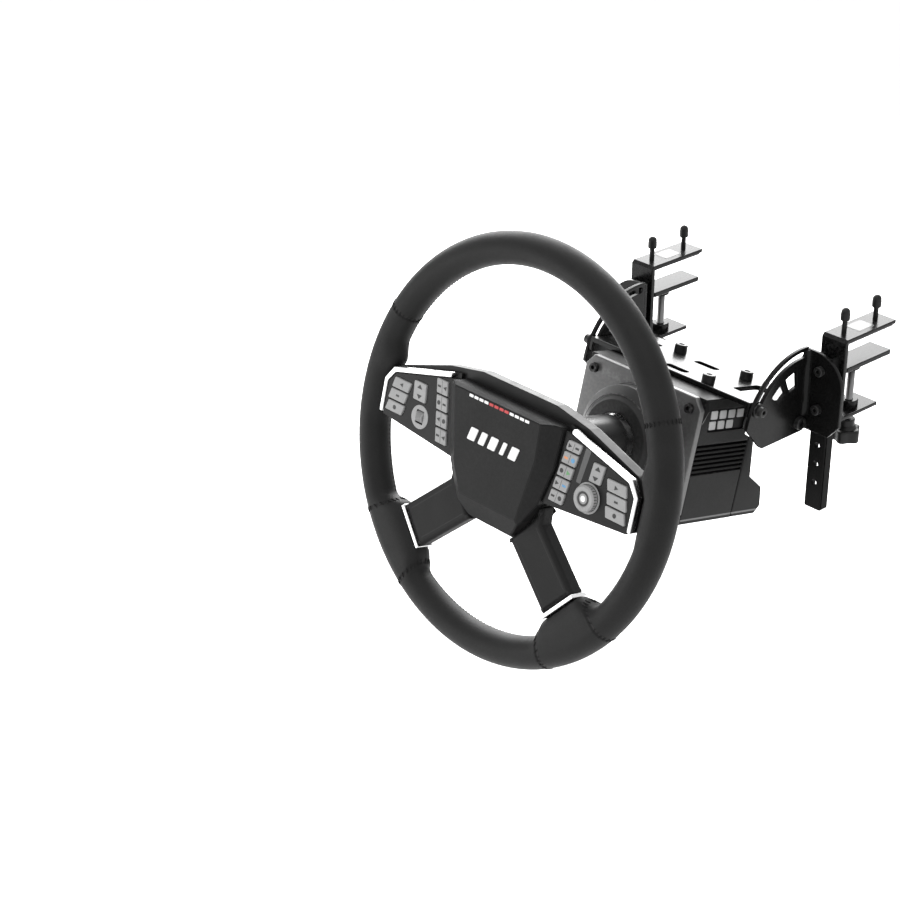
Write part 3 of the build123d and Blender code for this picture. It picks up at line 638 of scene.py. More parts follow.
@dataclass(frozen=True)
class Finish:
    """One surface finish, from which a procedural material is made."""

    name: str
    base: Colour
    tone: Colour                     # colour that the handling clouds drift to
    rubbed: Colour                   # colour where edges are rubbed
    roughness: float = 0.5
    spread: float = 0.08             # how far the roughness varies
    metallic: float = 0.0
    grain: Grain = Grain.MOULDED
    size: float = 0.7                # size of the grain, in millimetres
    relief: float = 0.02             # height of the grain, in millimetres
    edges: float = 0.5               # share of the edges that is rubbed
    specular: float = 0.5

    def material(self) -> bpy.types.Material:
        """Builds the material, or returns it when it is already there.

        Returns:
            The material.
        """
        known = bpy.data.materials.get(self.name)
        if known is not None:
            return known
        made = bpy.data.materials.new(self.name)
        made.use_nodes = True
        made.node_tree.nodes.clear()
        wiring = Wiring(made.node_tree)
        place = wiring.node("ShaderNodeTexCoord").outputs["Object"]
        inputs = {"Place": place, "Scale": 1 / (self.size * MM)}
        grain = wiring.node("ShaderNodeGroup", {"node_tree": Effects.grain(self.grain)}, inputs).outputs
        inputs = {"Place": place, "Scale": 38.0, "Edges": self.edges}
        wear = wiring.node("ShaderNodeGroup", {"node_tree": Effects.wear()}, inputs).outputs
        clouded = self.mix(wiring, wear["Cloud"], (*self.base, 1), (*self.tone, 1))
        dark = tuple(channel * 0.55 for channel in self.base)
        hollow = wiring.maths("MULTIPLY", grain["Hollows"], 0.35)
        grained = self.mix(wiring, hollow, clouded, (*dark, 1))
        colour = self.mix(wiring, wear["Rubbed"], grained, (*self.rubbed, 1))
        drift = wiring.maths("MULTIPLY_ADD", wear["Cloud"], self.spread)
        drift.node.inputs[2].default_value = self.roughness - self.spread / 2
        rough = wiring.maths("MULTIPLY_ADD", grain["Hollows"], self.spread)
        wiring.tree.links.new(drift, rough.node.inputs[2])
        bump_inputs = {"Height": grain["Height"], "Distance": self.relief * MM, "Strength": 1.0}
        bump = wiring.node("ShaderNodeBump", None, bump_inputs)
        shader = wiring.node(
            "ShaderNodeBsdfPrincipled",
            None,
            {
                "Base Color": colour,
                "Roughness": rough,
                "Metallic": self.metallic,
                "Specular IOR Level": self.specular,
                "Normal": bump.outputs["Normal"],
            },
        )
        wiring.node("ShaderNodeOutputMaterial", None, {"Surface": shader.outputs[0]})
        return made

    @staticmethod
    def mix(wiring: Wiring, share: object, first: object, second: object) -> object:
        """Adds a colour mix and returns its output."""
        made = wiring.node("ShaderNodeMix", {"data_type": "RGBA"}, {0: share, 6: first, 7: second})
        return made.outputs[2]


class Finishes:
    """The object's finishes, named for what they cover."""

    LEATHER = Finish(
        "rim_leather_finish", grey(23), grey(30), grey(42), 0.5, 0.1,
        grain=Grain.LEATHER, size=1.1, relief=0.05, edges=0.2, specular=0.18,
    )
    THREAD = Finish(
        "seam_thread", grey(20), grey(26), grey(40), 0.8, 0.1, size=0.25, relief=0.04, specular=0.2
    )
    PAD = Finish(
        "hub_pad_finish", grey(22), grey(28), grey(44), 0.56, 0.1,
        size=0.45, relief=0.014, edges=0.25, specular=0.16,
    )
    SHELL = Finish(
        "back_shell_finish", grey(20), grey(26), grey(50), 0.42, 0.1,
        size=0.6, relief=0.01, edges=0.3, specular=0.2,
    )
    PANEL = Finish(
        "wing_panel_finish", grey(16), grey(22), grey(50), 0.4, 0.08,
        size=0.35, relief=0.008, edges=0.3, specular=0.16,
    )
    CHROME = Finish(
        "satin_trim", grey(226), grey(238), grey(246), 0.24, 0.08, metallic=1.0,
        grain=Grain.BRUSHED, size=0.35, relief=0.006, edges=0.3,
    )
    KEY = Finish(
        "grey_key_finish", grey(138), grey(150), grey(172), 0.42, 0.1,
        size=0.4, relief=0.01, edges=0.4, specular=0.3,
    )
    KEY_DARK = Finish("dark_key_finish", grey(52), grey(64), grey(90), 0.4, 0.1, size=0.4, relief=0.012)
    LEGEND_BLACK = Finish("legend_black", grey(22), grey(28), grey(30), 0.5, 0.05, relief=0.004)
    LEGEND_WHITE = Finish("legend_white", grey(236), grey(228), grey(240), 0.5, 0.05, relief=0.004)
    LEGEND_RED = Finish("legend_red", (0.5, 0.03, 0.035), (0.42, 0.03, 0.03), (0.6, 0.1, 0.1), 0.5, 0.05)
    LEGEND_BLUE = Finish("legend_blue", (0.05, 0.24, 0.46), (0.05, 0.2, 0.4), (0.2, 0.4, 0.6), 0.5, 0.05)
    LEGEND_ORANGE = Finish(
        "legend_orange", (0.62, 0.22, 0.08), (0.55, 0.2, 0.08), (0.7, 0.4, 0.2), 0.5, 0.05
    )
    LEGEND_GREEN = Finish(
        "legend_green", (0.08, 0.26, 0.09), (0.08, 0.22, 0.09), (0.2, 0.4, 0.2), 0.5, 0.05
    )
    MACHINED = Finish(
        "machined_steel", grey(150), grey(168), grey(200), 0.3, 0.12, metallic=1.0,
        grain=Grain.BRUSHED, size=0.3, relief=0.008,
    )
    POLISHED = Finish(
        "polished_ring", grey(205), grey(220), grey(235), 0.16, 0.08, metallic=1.0,
        grain=Grain.BRUSHED, size=0.3, relief=0.004,
    )
    ANODISED_BLACK = Finish(
        "black_anodised", grey(22), grey(30), grey(90), 0.28, 0.08,
        size=0.3, relief=0.004, edges=0.5, specular=0.45,
    )
    ANODISED_GREY = Finish(
        "grey_anodised", grey(96), grey(108), grey(150), 0.4, 0.12, metallic=0.75,
        grain=Grain.COATED, size=0.35, relief=0.008, edges=0.5,
    )
    CASE = Finish(
        "base_case_coat", grey(13), grey(18), grey(56), 0.42, 0.08,
        grain=Grain.COATED, size=0.45, relief=0.006, edges=0.4, specular=0.13,
    )
    BOSS = Finish(
        "boss_coat", grey(40), grey(48), grey(90), 0.38, 0.1, metallic=0.3,
        grain=Grain.COATED, size=0.35, relief=0.006, edges=0.5, specular=0.3,
    )
    FIN = Finish(
        "fin_coat", grey(8), grey(11), grey(34), 0.55, 0.08,
        grain=Grain.COATED, size=0.45, relief=0.008, edges=0.3, specular=0.08,
    )
    COAT = Finish(
        "black_powder_coat", grey(9), grey(13), grey(56), 0.24, 0.05,
        grain=Grain.COATED, size=0.8, relief=0.005, edges=0.35, specular=0.16,
    )
    SCREW = Finish(
        "black_screw_steel", grey(18), grey(24), grey(90), 0.34, 0.1,
        size=0.3, relief=0.006, edges=0.5, specular=0.3,
    )
    ZINC = Finish(
        "zinc_plated_steel", grey(140), grey(158), grey(190), 0.34, 0.14, metallic=0.9,
        grain=Grain.BRUSHED, size=0.3, relief=0.008,
    )
    KNOB = Finish(
        "hand_knob_finish", grey(18), grey(24), grey(50), 0.4, 0.1, size=0.6, relief=0.015, specular=0.25
    )
    RUBBER = Finish(
        "rubber_face", grey(30), grey(36), grey(44), 0.82, 0.08, size=0.5, relief=0.03, edges=0.2
    )
    BOARD = Finish("board_lacquer", (0.01, 0.045, 0.02), (0.012, 0.06, 0.03), (0.1, 0.1, 0.05), 0.35, 0.08)
    COPPER = Finish(
        "copper_windings", (0.55, 0.2, 0.08), (0.45, 0.16, 0.06), (0.8, 0.4, 0.2), 0.3, 0.12, metallic=1.0,
        grain=Grain.BRUSHED, size=0.5,
    )
    LABEL = Finish("label_print", grey(160), grey(172), grey(186), 0.45, 0.08, size=0.3, relief=0.006)


# ---- making pieces ----------------------------------------------------------------------------------
@dataclass
class Bench:
    """Turns drawings into finished pieces that ride on one body."""

    place: Matrix
    body: str
    count: int = 0

    def piece(
        self,
        name: str,
        drawing: Solid,
        finish: Finish,
        replaces: tuple[str, ...] = (),
        body: str | None = None,
        sharp: float = 40.0,
        weighted: bool = True,
    ) -> bpy.types.Object:
        """Makes one piece from a drawing.

        Args:
            name: The piece's name.
            drawing: What was drawn, in the bench's frame and in millimetres.
            finish: The surface finish.
            replaces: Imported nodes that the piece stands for.
            body: The body it rides on, when it isn't the bench's own.
            sharp: Edges that turn by more than this stay crisp, in degrees.
            weighted: Whether broad faces keep flat shading.

        Returns:
            The new object.
        """
        mesh = bpy.data.meshes.new(name)
        bmesh.ops.recalc_face_normals(drawing.mesh, faces=drawing.mesh.faces[:])
        drawing.mesh.to_mesh(mesh)
        drawing.mesh.free()
        mesh.transform(self.place @ Matrix.Scale(MM, 4))
        if (self.place.to_3x3()).determinant() < 0:
            mesh.flip_normals()
        mesh.shade_smooth()
        mesh.set_sharp_from_angle(angle=math.radians(sharp))
        mesh.materials.append(finish.material())
        made = bpy.data.objects.new(name, mesh)
        bpy.context.scene.collection.objects.link(made)
        if weighted:
            modifier = made.modifiers.new("flat_faces", "WEIGHTED_NORMAL")
            modifier.keep_sharp = True
        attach(made, body or self.body)
        if replaces:
            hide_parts(*replaces)
        self.count += 1
        return made


def dress(frame: dict, finish: Finish, *nodes: str) -> None:
    """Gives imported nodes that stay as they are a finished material."""
    for name in nodes:
        packed = frame["nodes"][name]
        for slot in packed.material_slots:
            slot.material = finish.material()
        if not packed.material_slots:
            packed.data.materials.append(finish.material())


def column_place(frame: dict) -> Matrix:
    """The steering column's frame, from the steel ring's middle and the steering axis.


    Returns:
        The matrix.
    """
    low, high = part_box("rim_core")
    joint = next(j for j in frame["joints"] if j["name"] == "steering")
    away = Vector(joint["axis"])
    away = away if away.y > 0 else -away
    return frame_of(tuple((low + high) / 2), (1, 0, 0), tuple(-away))


# ---- steering wheel ---------------------------------------------------------------------------------
@dataclass(frozen=True)
class Flare:
    """Straight inner edge where the grip widens to meet a spoke or a wing."""

    heading: float      # direction of the edge's normal, in degrees
    reach: float        # distance from the wheel's centre to the edge
    first: float        # polar angles between which the edge runs, in degrees
    last: float
    blend: float = 5.0  # angle over which it fades, in degrees


@dataclass
class SteeringRim:
    """Leather grip with its flares, cross seams and stitches."""

    grip: float = 15.5
    ring: float = 184.5
    seam_depth: float = 0.7
    seam_width: float = 0.55          # half width of a seam, in degrees round the rim
    seams: tuple[float, ...] = (-36.5, -60.0, 27.0)
    stitch_pitch: float = 4.2
    thread: float = 0.45
    fullest: float = 13.0             # widening at which the section is boxy
    flares: tuple[Flare, ...] = (
        Flare(-41.9, 150.4, -56.1, -40.0, 7.0),
        Flare(0.0, 166.3, -5.9, 6.3, 4.0),
        Flare(27.3, 156.0, 6.2, 11.5, 7.0),
    )

    def measure(self) -> None:
        """Takes the radius of the grip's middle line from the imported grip's width."""
        low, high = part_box("rim_leather")
        self.ring = (high.x - low.x) / MM / 2 - self.grip

    def inner(self, degrees: float) -> float:
        """Distance from the centre to the grip's inner edge at a polar angle.

        Args:
            degrees: Polar angle round the rim.

        Returns:
            The distance, in millimetres.
        """
        base = self.ring - self.grip
        angle = (degrees + 180) % 360 - 180
        if abs(angle) > 90:
            angle = math.copysign(180, angle) - angle
        best = base
        for flare in self.flares:
            nearest = min(max(angle, flare.first), flare.last)
            edge = flare.reach / math.cos(math.radians(nearest - flare.heading))
            fade = min(1.0, abs(angle - nearest) / flare.blend)
            fade = fade * fade * (3 - 2 * fade)
            best = min(best, edge + (base - edge) * fade)
        return best

    def seam_angles(self) -> list[float]:
        """Polar angles of the cross seams on both sides."""
        return sorted([angle for angle in self.seams] + [180 - angle for angle in self.seams])

    def groove(self, degrees: float) -> float:
        """Depth of the nearest cross seam at a polar angle.

        Args:
            degrees: Polar angle round the rim.

        Returns:
            The depth, in millimetres.
        """
        gaps = [abs((degrees - seam + 180) % 360 - 180) for seam in self.seam_angles()]
        share = min(gaps) / self.seam_width
        return self.seam_depth * max(0.0, 1 - share) ** 0.7

    def point(self, degrees: float, section: float, lift: float = 0.0) -> Vector:
        """Point of the grip's surface.

        Args:
            degrees: Polar angle round the rim.
            section: Angle round the section, 0 at the rim's outside.
            lift: Height above the surface.

        Returns:
            The point in the column frame.
        """
        ring, inner = self.ring, self.inner(degrees)
        extra = ring - self.grip - inner
        boxy = 1.0 - 0.5 * min(1.0, extra / self.fullest)
        depth = self.grip - self.groove(degrees) + lift
        across, up = math.cos(section), math.sin(section)
        if across >= 0:
            out, high = ring + depth * across, depth * up
        else:
            reach = depth + extra
            out = ring - reach * abs(across) ** boxy
            thin = 1.0 - 0.32 * min(1.0, extra / self.fullest) * abs(across) ** 2
            high = depth * math.copysign(abs(up) ** boxy, up) * thin
        angle = math.radians(degrees)
        return Vector((out * math.cos(angle), out * math.sin(angle), high))

    def angles(self) -> list[float]:
        """Polar angles of the rings, closer together at the seams.

        Returns:
            The angles, in degrees.
        """
        rings = {round(i * 1.5, 3) for i in range(240)}
        for seam in self.seam_angles():
            for k in range(-4, 5):
                rings.add(round((seam + k * self.seam_width / 3) % 360, 3))
        return sorted(rings)

    def skin(self) -> Solid:
        """The leather surface.

        Returns:
            The drawing.
        """
        drawing = Solid()
        turns = 44
        rings = []
        for degrees in self.angles():
            sections = [2 * math.pi * k / turns for k in range(turns)]
            rings.append([drawing.mesh.verts.new(self.point(degrees, s)) for s in sections])
        for first, second in zip(rings, rings[1:] + rings[:1]):
            drawing.wall(first, second)
        return drawing

    def stitch(self, start: Vector, end: Vector) -> Solid:
        """One short thread between two points.

        Args:
            start: Where it starts.
            end: Where it ends.

        Returns:
            The drawing.
        """
        along = end - start
        turn = along.to_track_quat("Z", "Y").to_matrix().to_4x4()
        length, r = along.length, self.thread
        profile = [(0, -r), (r * 0.8, -r * 0.5), (r, 0), (r, length), (r * 0.8, length + r * 0.5)]
        profile.append((0, length + r))
        return Solid().turned(profile, 8, Matrix.Translation(start) @ turn)

    def stitching(self) -> Solid:
        """Threads across every seam, and a row along the inner edge.

        Returns:
            The drawing.
        """
        drawing = Solid()
        around = int(2 * math.pi * self.grip / self.stitch_pitch)
        for seam in self.seam_angles():
            for k in range(around):
                section = 2 * math.pi * k / around
                ends = [self.point(seam + d, section, 0.1) for d in (-0.62, 0.62)]
                drawing.take(self.stitch(*ends))
        count = int(2 * math.pi * (self.ring - self.grip) / self.stitch_pitch)
        for k in range(count):
            degrees = 360 * k / count
            if self.ring - self.grip - self.inner(degrees) > 1.5:
                continue
            ends = [self.point(degrees + d, math.radians(206), 0.05) for d in (-0.35, 0.35)]
            drawing.take(self.stitch(*ends))
        return drawing

    def build(self, bench: Bench) -> None:
        """Makes the grip and its thread.

        Args:
            bench: What makes and places the pieces.
        """
        self.measure()
        bench.piece(
            "leather_grip", self.skin(), Finishes.LEATHER, ("rim_leather",), weighted=False
        )
        bench.piece("grip_stitching", self.stitching(), Finishes.THREAD, weighted=False)


@dataclass
class HubPad:
    """Faceted pad with a plain raised mark and a striped line."""

    back: float = 4.5
    edge: float = 15.0
    chin: float = 9.0
    crest_low: float = 22.0
    crest_high: float = 26.5
    crease: float = -50.0
    side_slope: float = 33.0
    easing: float = 1.6
    mark_height: float = 12.5
    mark_widths: tuple[float, ...] = (9.5, 7.5, 9.5, 5.0, 9.5)
    mark_pitch: float = 13.4
    mark_lean: float = 4.0
    mark_level: float = 9.0
    stripe_level: float = 43.0

    OUTLINE = ((28, -72), (46, -50), (58, -28), (68, 9), (70, 48))

    def outline(self) -> Outline:
        """The pad's outline, right half and its mirror image."""
        right = [tuple(map(float, point)) for point in self.OUTLINE]
        return right + list(reversed(mirrored(right)))

    def facet(self, drawing: Solid, start: Point, end: Point, height: float, rise: float) -> None:
        """Shaves the pad by a plane through a line, rising to the line's left.

        Args:
            drawing: The drawing that is cut.
            start: First end of the line.
            end: Second end of the line.
            height: Height of the line.
            rise: Slope of the facet, in degrees.
        """
        angle = math.radians(rise)
        along = Vector((end[0] - start[0], end[1] - start[1], 0)).normalized()
        uphill = Vector((-along.y * math.cos(angle), along.x * math.cos(angle), math.sin(angle)))
        drawing.shaved(Vector((*start, height)), along.cross(uphill))

    def body(self) -> Solid:
        """The pad itself.

        Returns:
            The drawing.
        """
        corners = self.outline()
        drawing = Solid().slab(softened(corners, 5.0), self.back, self.crest_high, edge=0.0)
        top = math.degrees(math.atan2(self.crest_high - self.crest_low, corners[4][1] - self.crease))
        self.facet(drawing, (-60, self.crease), (60, self.crease), self.crest_low, top)
        self.facet(drawing, corners[-1], corners[0], self.chin, 31)
        self.facet(drawing, corners[4], corners[5], self.edge + 5, 70)
        for i in (2, 3, 6, 7):
            self.facet(drawing, corners[i], corners[(i + 1) % 10], self.edge, self.side_slope)
        return drawing.eased(self.easing, 4)

    def face(self) -> Matrix:
        """Frame of the pad's middle face.

        Returns:
            The matrix.
        """
        slope = math.atan2(self.crest_high - self.crest_low, 48 - self.crease)
        level = self.crest_low - self.crease * math.tan(slope)
        return Matrix.Translation((0, 0, level)) @ Matrix.Rotation(slope, 4, "X")

    def mark(self) -> Solid:
        """Row of plain leaning blocks of changing width.

        Returns:
            The drawing.
        """
        drawing = Solid()
        for i, width in enumerate(self.mark_widths):
            x = (i - (len(self.mark_widths) - 1) / 2) * self.mark_pitch
            half, lean = width / 2, self.mark_lean / 2
            low, high = self.mark_level - self.mark_height / 2, self.mark_level + self.mark_height / 2
            corners = [(x - half - lean, low), (x + half - lean, low), (x + half + lean, high)]
            corners.append((x - half + lean, high))
            drawing.slab(softened(corners, 1.2), -0.5, 0.9, 0.35, place=self.face())
        return drawing

    def stripe(self, first: int, last: int) -> Solid:
        """Dashes of the line over the mark, from one to another of twelve.

        Args:
            first: Number of the first dash.
            last: Number after the last one.

        Returns:
            The drawing.
        """
        drawing = Solid()
        for i in range(first, last):
            x = (i - 5.5) * 6.6
            shape = softened(
                rectangle((x - 2.6, self.stripe_level - 1.3), (x + 2.6, self.stripe_level + 1.3)), 0.6
            )
            drawing.slab(shape, -0.5, 0.25, 0.12, place=self.face())
        return drawing

    def build(self, bench: Bench) -> None:
        """Makes the pad and its marks.

        Args:
            bench: What makes and places the pieces.
        """
        bench.piece("hub_pad_cover", self.body(), Finishes.PAD, ("hub_pad",), sharp=60)
        bench.piece("pad_mark", self.mark(), Finishes.LEGEND_WHITE)
        white = self.stripe(0, 4).take(self.stripe(8, 12))
        bench.piece("pad_stripe_white", white, Finishes.LEGEND_WHITE)
        bench.piece("pad_stripe_red", self.stripe(4, 8), Finishes.LEGEND_RED)


@dataclass
class KeyShape:
    """Outline and legend of one key, drawn on the driver's right."""

    name: str
    centre: Point
    size: Point
    lean: float = 0.0
    corner: float = 1.4

    def outline(self, by: float = 0.0) -> Outline:
        """The key's outline, grown by a clearance.

        Args:
            by: Clearance round the key.

        Returns:
            The outline.
        """
        wide, high = self.size[0] / 2 + by, self.size[1] / 2 + by
        slope = self.lean / self.size[1]
        corners = [(-wide, -high), (wide, -high), (wide, high), (-wide, high)]
        placed = [(self.centre[0] + x + slope * y, self.centre[1] + y) for x, y in corners]
        return softened(placed, self.corner + by)


@dataclass
class Wings:
    """Button panels with their bright trims and keys, and the shell behind them."""

    face: float = 12.0
    back: float = 4.5
    key_top: float = 13.6
    key_bottom: float = 5.4
    gap: float = 0.4
    rib: float = 1.6
    roller: Point = (110.5, -4.5)
    roller_radius: float = 6.0
    roller_width: float = 9.0
    roller_sink: float = 3.2
    knob: Point = (110.5, -3.0)
    knob_radius: float = 12.0
    shell_back: float = -13.0

    OUTLINE = (
        (70.6, 51.5), (80, 49.5), (156, 30), (165.5, 17), (165.5, -15), (160, -18), (58.6, -27), (68.6, 9)
    )
    TRIM = ((79, 50.5), (155.6, 31), (165.5, 17.4), (165.5, -16), (161.2, -16), (161.2, 15.6), (152.6, 26.4),
            (78.2, 45.4))
    SHELL = ((30, -74), (49, -51), (60, -28), (160, -18), (165.5, -15), (165.5, 17), (156, 32), (90, 53),
             (48, 60.5))

    def strip(self, count: int, width: float, top: Point, bottom: Point, prefix: str) -> list[KeyShape]:
        """Column of keys beside the hub pad.

        Args:
            count: Number of keys.
            width: Width of a key.
            top: Top of the column's middle line.
            bottom: Bottom of the column's middle line.
            prefix: Start of the keys' names.

        Returns:
            The keys.
        """
        pitch = (top[1] - bottom[1]) / count
        slope = (top[0] - bottom[0]) / (top[1] - bottom[1])
        keys = []
        for i in range(count):
            level = top[1] - pitch * (i + 0.5)
            centre = (bottom[0] + slope * (level - bottom[1]), level)
            size = (width, pitch - self.rib)
            keys.append(KeyShape(f"{prefix}_strip_key_{i + 1}", centre, size, slope * size[1]))
        return keys

    def keys(self, side: int) -> list[KeyShape]:
        """Every rectangular key of one wing.

        Args:
            side: 1 for the right wing, -1 for the left.

        Returns:
            The keys.
        """
        prefix = "right" if side > 0 else "left"
        rows = ((141.0, 17.4), (143.6, 5.6), (145.0, -6.4))
        keys = [
            KeyShape(f"{prefix}_outer_key_{i + 1}", row, (23.0, 10.4), -3.0) for i, row in enumerate(rows)
        ]
        if side > 0:
            keys.append(KeyShape("right_arrow_rocker", (116.0, 21.5), (14.0, 18.0), 2.0))
            strip = self.strip(5, 17.0, (85.5, 42.0), (75.0, -21.0), prefix)
            first = strip[0]
            centre = (first.centre[0], first.centre[1] - 0.8)
            strip[0] = KeyShape(first.name, centre, (17.0, first.size[1] - 1.6), first.lean, 2.4)
            return keys + strip
        keys.append(KeyShape("left_arrow_rocker", (115.5, 19.0), (17.0, 18.0), 2.0))
        return keys + self.strip(4, 15.0, (89.0, 40.5), (76.5, -20.0), prefix)

    @staticmethod
    def sided(points: Outline, side: int) -> Outline:
        """An outline drawn on the right, put on the side wanted."""
        return list(points) if side > 0 else mirrored(points)

    def panel(self, side: int) -> Solid:
        """Panel plate with a pocket for each key and a channel for the trim.

        Args:
            side: 1 for the right wing, -1 for the left.

        Returns:
            The drawing.
        """
        holes = [self.sided(key.outline(self.gap), side) for key in self.keys(side)]
        if side > 0:
            holes.append(circle(self.knob_radius - 4 + self.gap, self.knob))
        else:
            x, y = -self.roller[0], self.roller[1]
            half, high = self.roller_width / 2 + self.gap, self.roller_radius + self.gap
            holes.append(softened(rectangle((x - half, y - high), (x + half, y + high)), 0.8))
        outline = [(70.8, 45.6), (78.0, 45.0), (152.3, 26.1), (160.9, 15.4), (160.9, -17.2), (160, -18)]
        outline += [(58.8, -26.8), (68.8, 9)]
        drawing = Solid().slab(
            softened(self.sided(outline, side), 1.2), self.back, self.face, (0.3, 0.7), tuple(holes)
        )
        step = softened(self.sided(list(self.OUTLINE), side), 2.0)
        return drawing.slab(step, self.back, self.face - 4.1, (0.3, 0.1), tuple(holes))

    def trim(self, side: int) -> Solid:
        """Bright strip round the wing's top and outer edges."""
        corners = self.sided(list(self.TRIM), side)
        return Solid().slab(softened(corners, 3.0, 5), self.face - 4, self.face + 1.2, (0.2, 1.1), rounds=4)

    def keycap(self, key: KeyShape, side: int) -> Solid:
        """One key with a rounded rim.

        Args:
            key: Which key.
            side: 1 for the right wing, -1 for the left.

        Returns:
            The drawing.
        """
        outline = self.sided(key.outline(), side)
        drawing = Solid().slab(outline, self.key_bottom, self.key_top, (0.2, 0.9), rounds=4)
        return drawing

    def bars(self, key: KeyShape, side: int, columns: int) -> list[Outline]:
        """Small plain symbols printed on one key, as outlines.

        Args:
            key: Which key.
            side: 1 for the right wing, -1 for the left.
            columns: Number of symbols on the key.

        Returns:
            The outlines.
        """
        number = int(key.name[-1]) if key.name[-1].isdigit() else 0
        shapes: list[Outline] = []
        for column in range(columns):
            x = key.centre[0] + (column - (columns - 1) / 2) * key.size[0] / columns
            y = key.centre[1]
            size = min(key.size[1] * 0.24, 2.2)
            kind = (number + column) % 3
            if kind == 0:
                shapes.append(circle(size, (x, y), 20))
            elif kind == 1:
                shapes.append([(x - size, y - size), (x + size, y), (x - size, y + size)])
            else:
                shapes.append(rectangle((x - size, y - size * 0.45), (x + size, y + size * 0.45)))
        return [self.sided(shape, side) for shape in shapes]

    def build_keys(self, bench: Bench, side: int) -> None:
        """Makes one wing's keys with their printed symbols."""
        tints = (Finishes.LEGEND_BLACK, Finishes.LEGEND_BLUE, Finishes.LEGEND_GREEN, Finishes.LEGEND_BLUE,
                 Finishes.LEGEND_BLACK)
        for key in self.keys(side):
            cap = self.keycap(key, side)
            bench.piece(f"{key.name}_cap", cap, Finishes.KEY, (key.name,), body=key.name)
            if "arrow" in key.name:
                self.arrows(bench, key, side)
                continue
            columns = 2 if "strip" in key.name else 1
            for column, shape in enumerate(self.bars(key, side, columns)):
                ink = Finishes.LEGEND_BLACK
                if side > 0 and columns == 2:
                    number = int(key.name[-1]) - 1
                    ink = tints[number] if column else (Finishes.LEGEND_ORANGE if number == 1 else ink)
                drawing = Solid().slab(shape, self.key_top - 0.4, self.key_top + 0.08, 0.03, rounds=1)
                bench.piece(
                    f"{key.name}_symbol_{column + 1}", drawing, ink, body=key.name
                )
            if columns == 2:
                line = self.sided(self.split_line(key), side)
                drawing = Solid().slab(line, self.key_top - 0.4, self.key_top + 0.06, 0.03, rounds=1)
                bench.piece(
                    f"{key.name}_split", drawing, Finishes.KEY_DARK, body=key.name
                )

    @staticmethod
    def split_line(key: KeyShape) -> Outline:
        """Thin line down the middle of a two-ended key.

        Args:
            key: Which key.

        Returns:
            The outline.
        """
        x, y, high = key.centre[0], key.centre[1], key.size[1] / 2 - 0.9
        slope = key.lean / key.size[1]
        return [(x - slope * high - 0.3, y - high), (x - slope * high + 0.3, y - high),
                (x + slope * high + 0.3, y + high), (x + slope * high - 0.3, y + high)]

    def arrows(self, bench: Bench, key: KeyShape, side: int) -> None:
        """Two solid arrowheads on a rocker, one over the other.

        Args:
            bench: What makes and places the pieces.
            key: Which key.
            side: 1 for the right wing, -1 for the left.
        """
        drawing = Solid()
        for way in (1, -1):
            x, y = key.centre[0] + way * 0.5, key.centre[1] + way * 4.4
            tip = [(x - 3.6, y - way * 1.6), (x + 3.6, y - way * 1.6), (x, y + way * 2.6)]
            drawing.slab(
                softened(self.sided(tip, side), 0.5), self.key_top - 0.4, self.key_top + 0.1, 0.04, rounds=1
            )
        bench.piece(f"{key.name}_arrows", drawing, Finishes.LEGEND_BLACK, body=key.name)

    def build_turners(self, bench: Bench) -> None:
        """Makes the left thumb roller and the right knob.

        Args:
            bench: What makes and places the pieces.
        """
        profile = [(0, -4.5), (5.2, -4.5), (6.0, -3.7)]
        for k in range(-3, 4):
            profile += [(6.0, k - 0.3), (5.6, k - 0.15), (5.6, k + 0.15), (6.0, k + 0.3)]
        profile += [(6.0, 3.7), (5.2, 4.5), (0, 4.5)]
        level = self.face - self.roller_sink
        place = shift(-self.roller[0], self.roller[1], level) @ Matrix.Rotation(math.pi / 2, 4, "Y")
        bench.piece(
            "thumb_roller", Solid().turned(profile, 40, place), Finishes.KEY, ("left_roller",),
            body="left_roller",
        )
        top, low = self.key_top + 5.0, self.face + 0.3
        radius = self.knob_radius
        profile = [
            (0, self.key_bottom), (radius - 4, self.key_bottom), (radius - 4, low), (radius - 0.4, low)
        ]
        profile += [(radius, low + 0.4), (radius, top - 1.4), (radius - 1.4, top), (radius - 4.6, top)]
        profile += [(radius - 5.2, top - 0.6), (0, top - 0.6)]
        place = shift(*self.knob, 0)
        ring = Solid().turned(profile, 56, place)
        bench.piece("media_knob", ring, Finishes.KEY, ("right_knob",), body="right_knob")
        ridge = Solid()
        for k in range(28):
            turn = place @ Matrix.Rotation(2 * math.pi * k / 28, 4, "Z")
            shape = rectangle((radius - 0.5, -0.35), (radius, 0.35))
            ridge.slab(shape, low + 0.8, top - 1.8, 0.08, rounds=1, place=turn)
        bench.piece("media_knob_ridges", ridge, Finishes.KEY_DARK, body="right_knob")
        cap = Solid().slab(circle(radius - 9.2, steps=40), top - 0.7, top - 0.1, (0.05, 0.3), place=place)
        bench.piece("media_knob_centre", cap, Finishes.LEGEND_WHITE, body="right_knob")
        groove = Solid().slab(
            circle(radius - 5.3, steps=40), top - 0.7, top - 0.45, 0.05, (circle(radius - 7.3, steps=40),),
            place=place,
        )
        bench.piece(
            "media_knob_groove", groove, Finishes.LEGEND_BLACK, body="right_knob"
        )

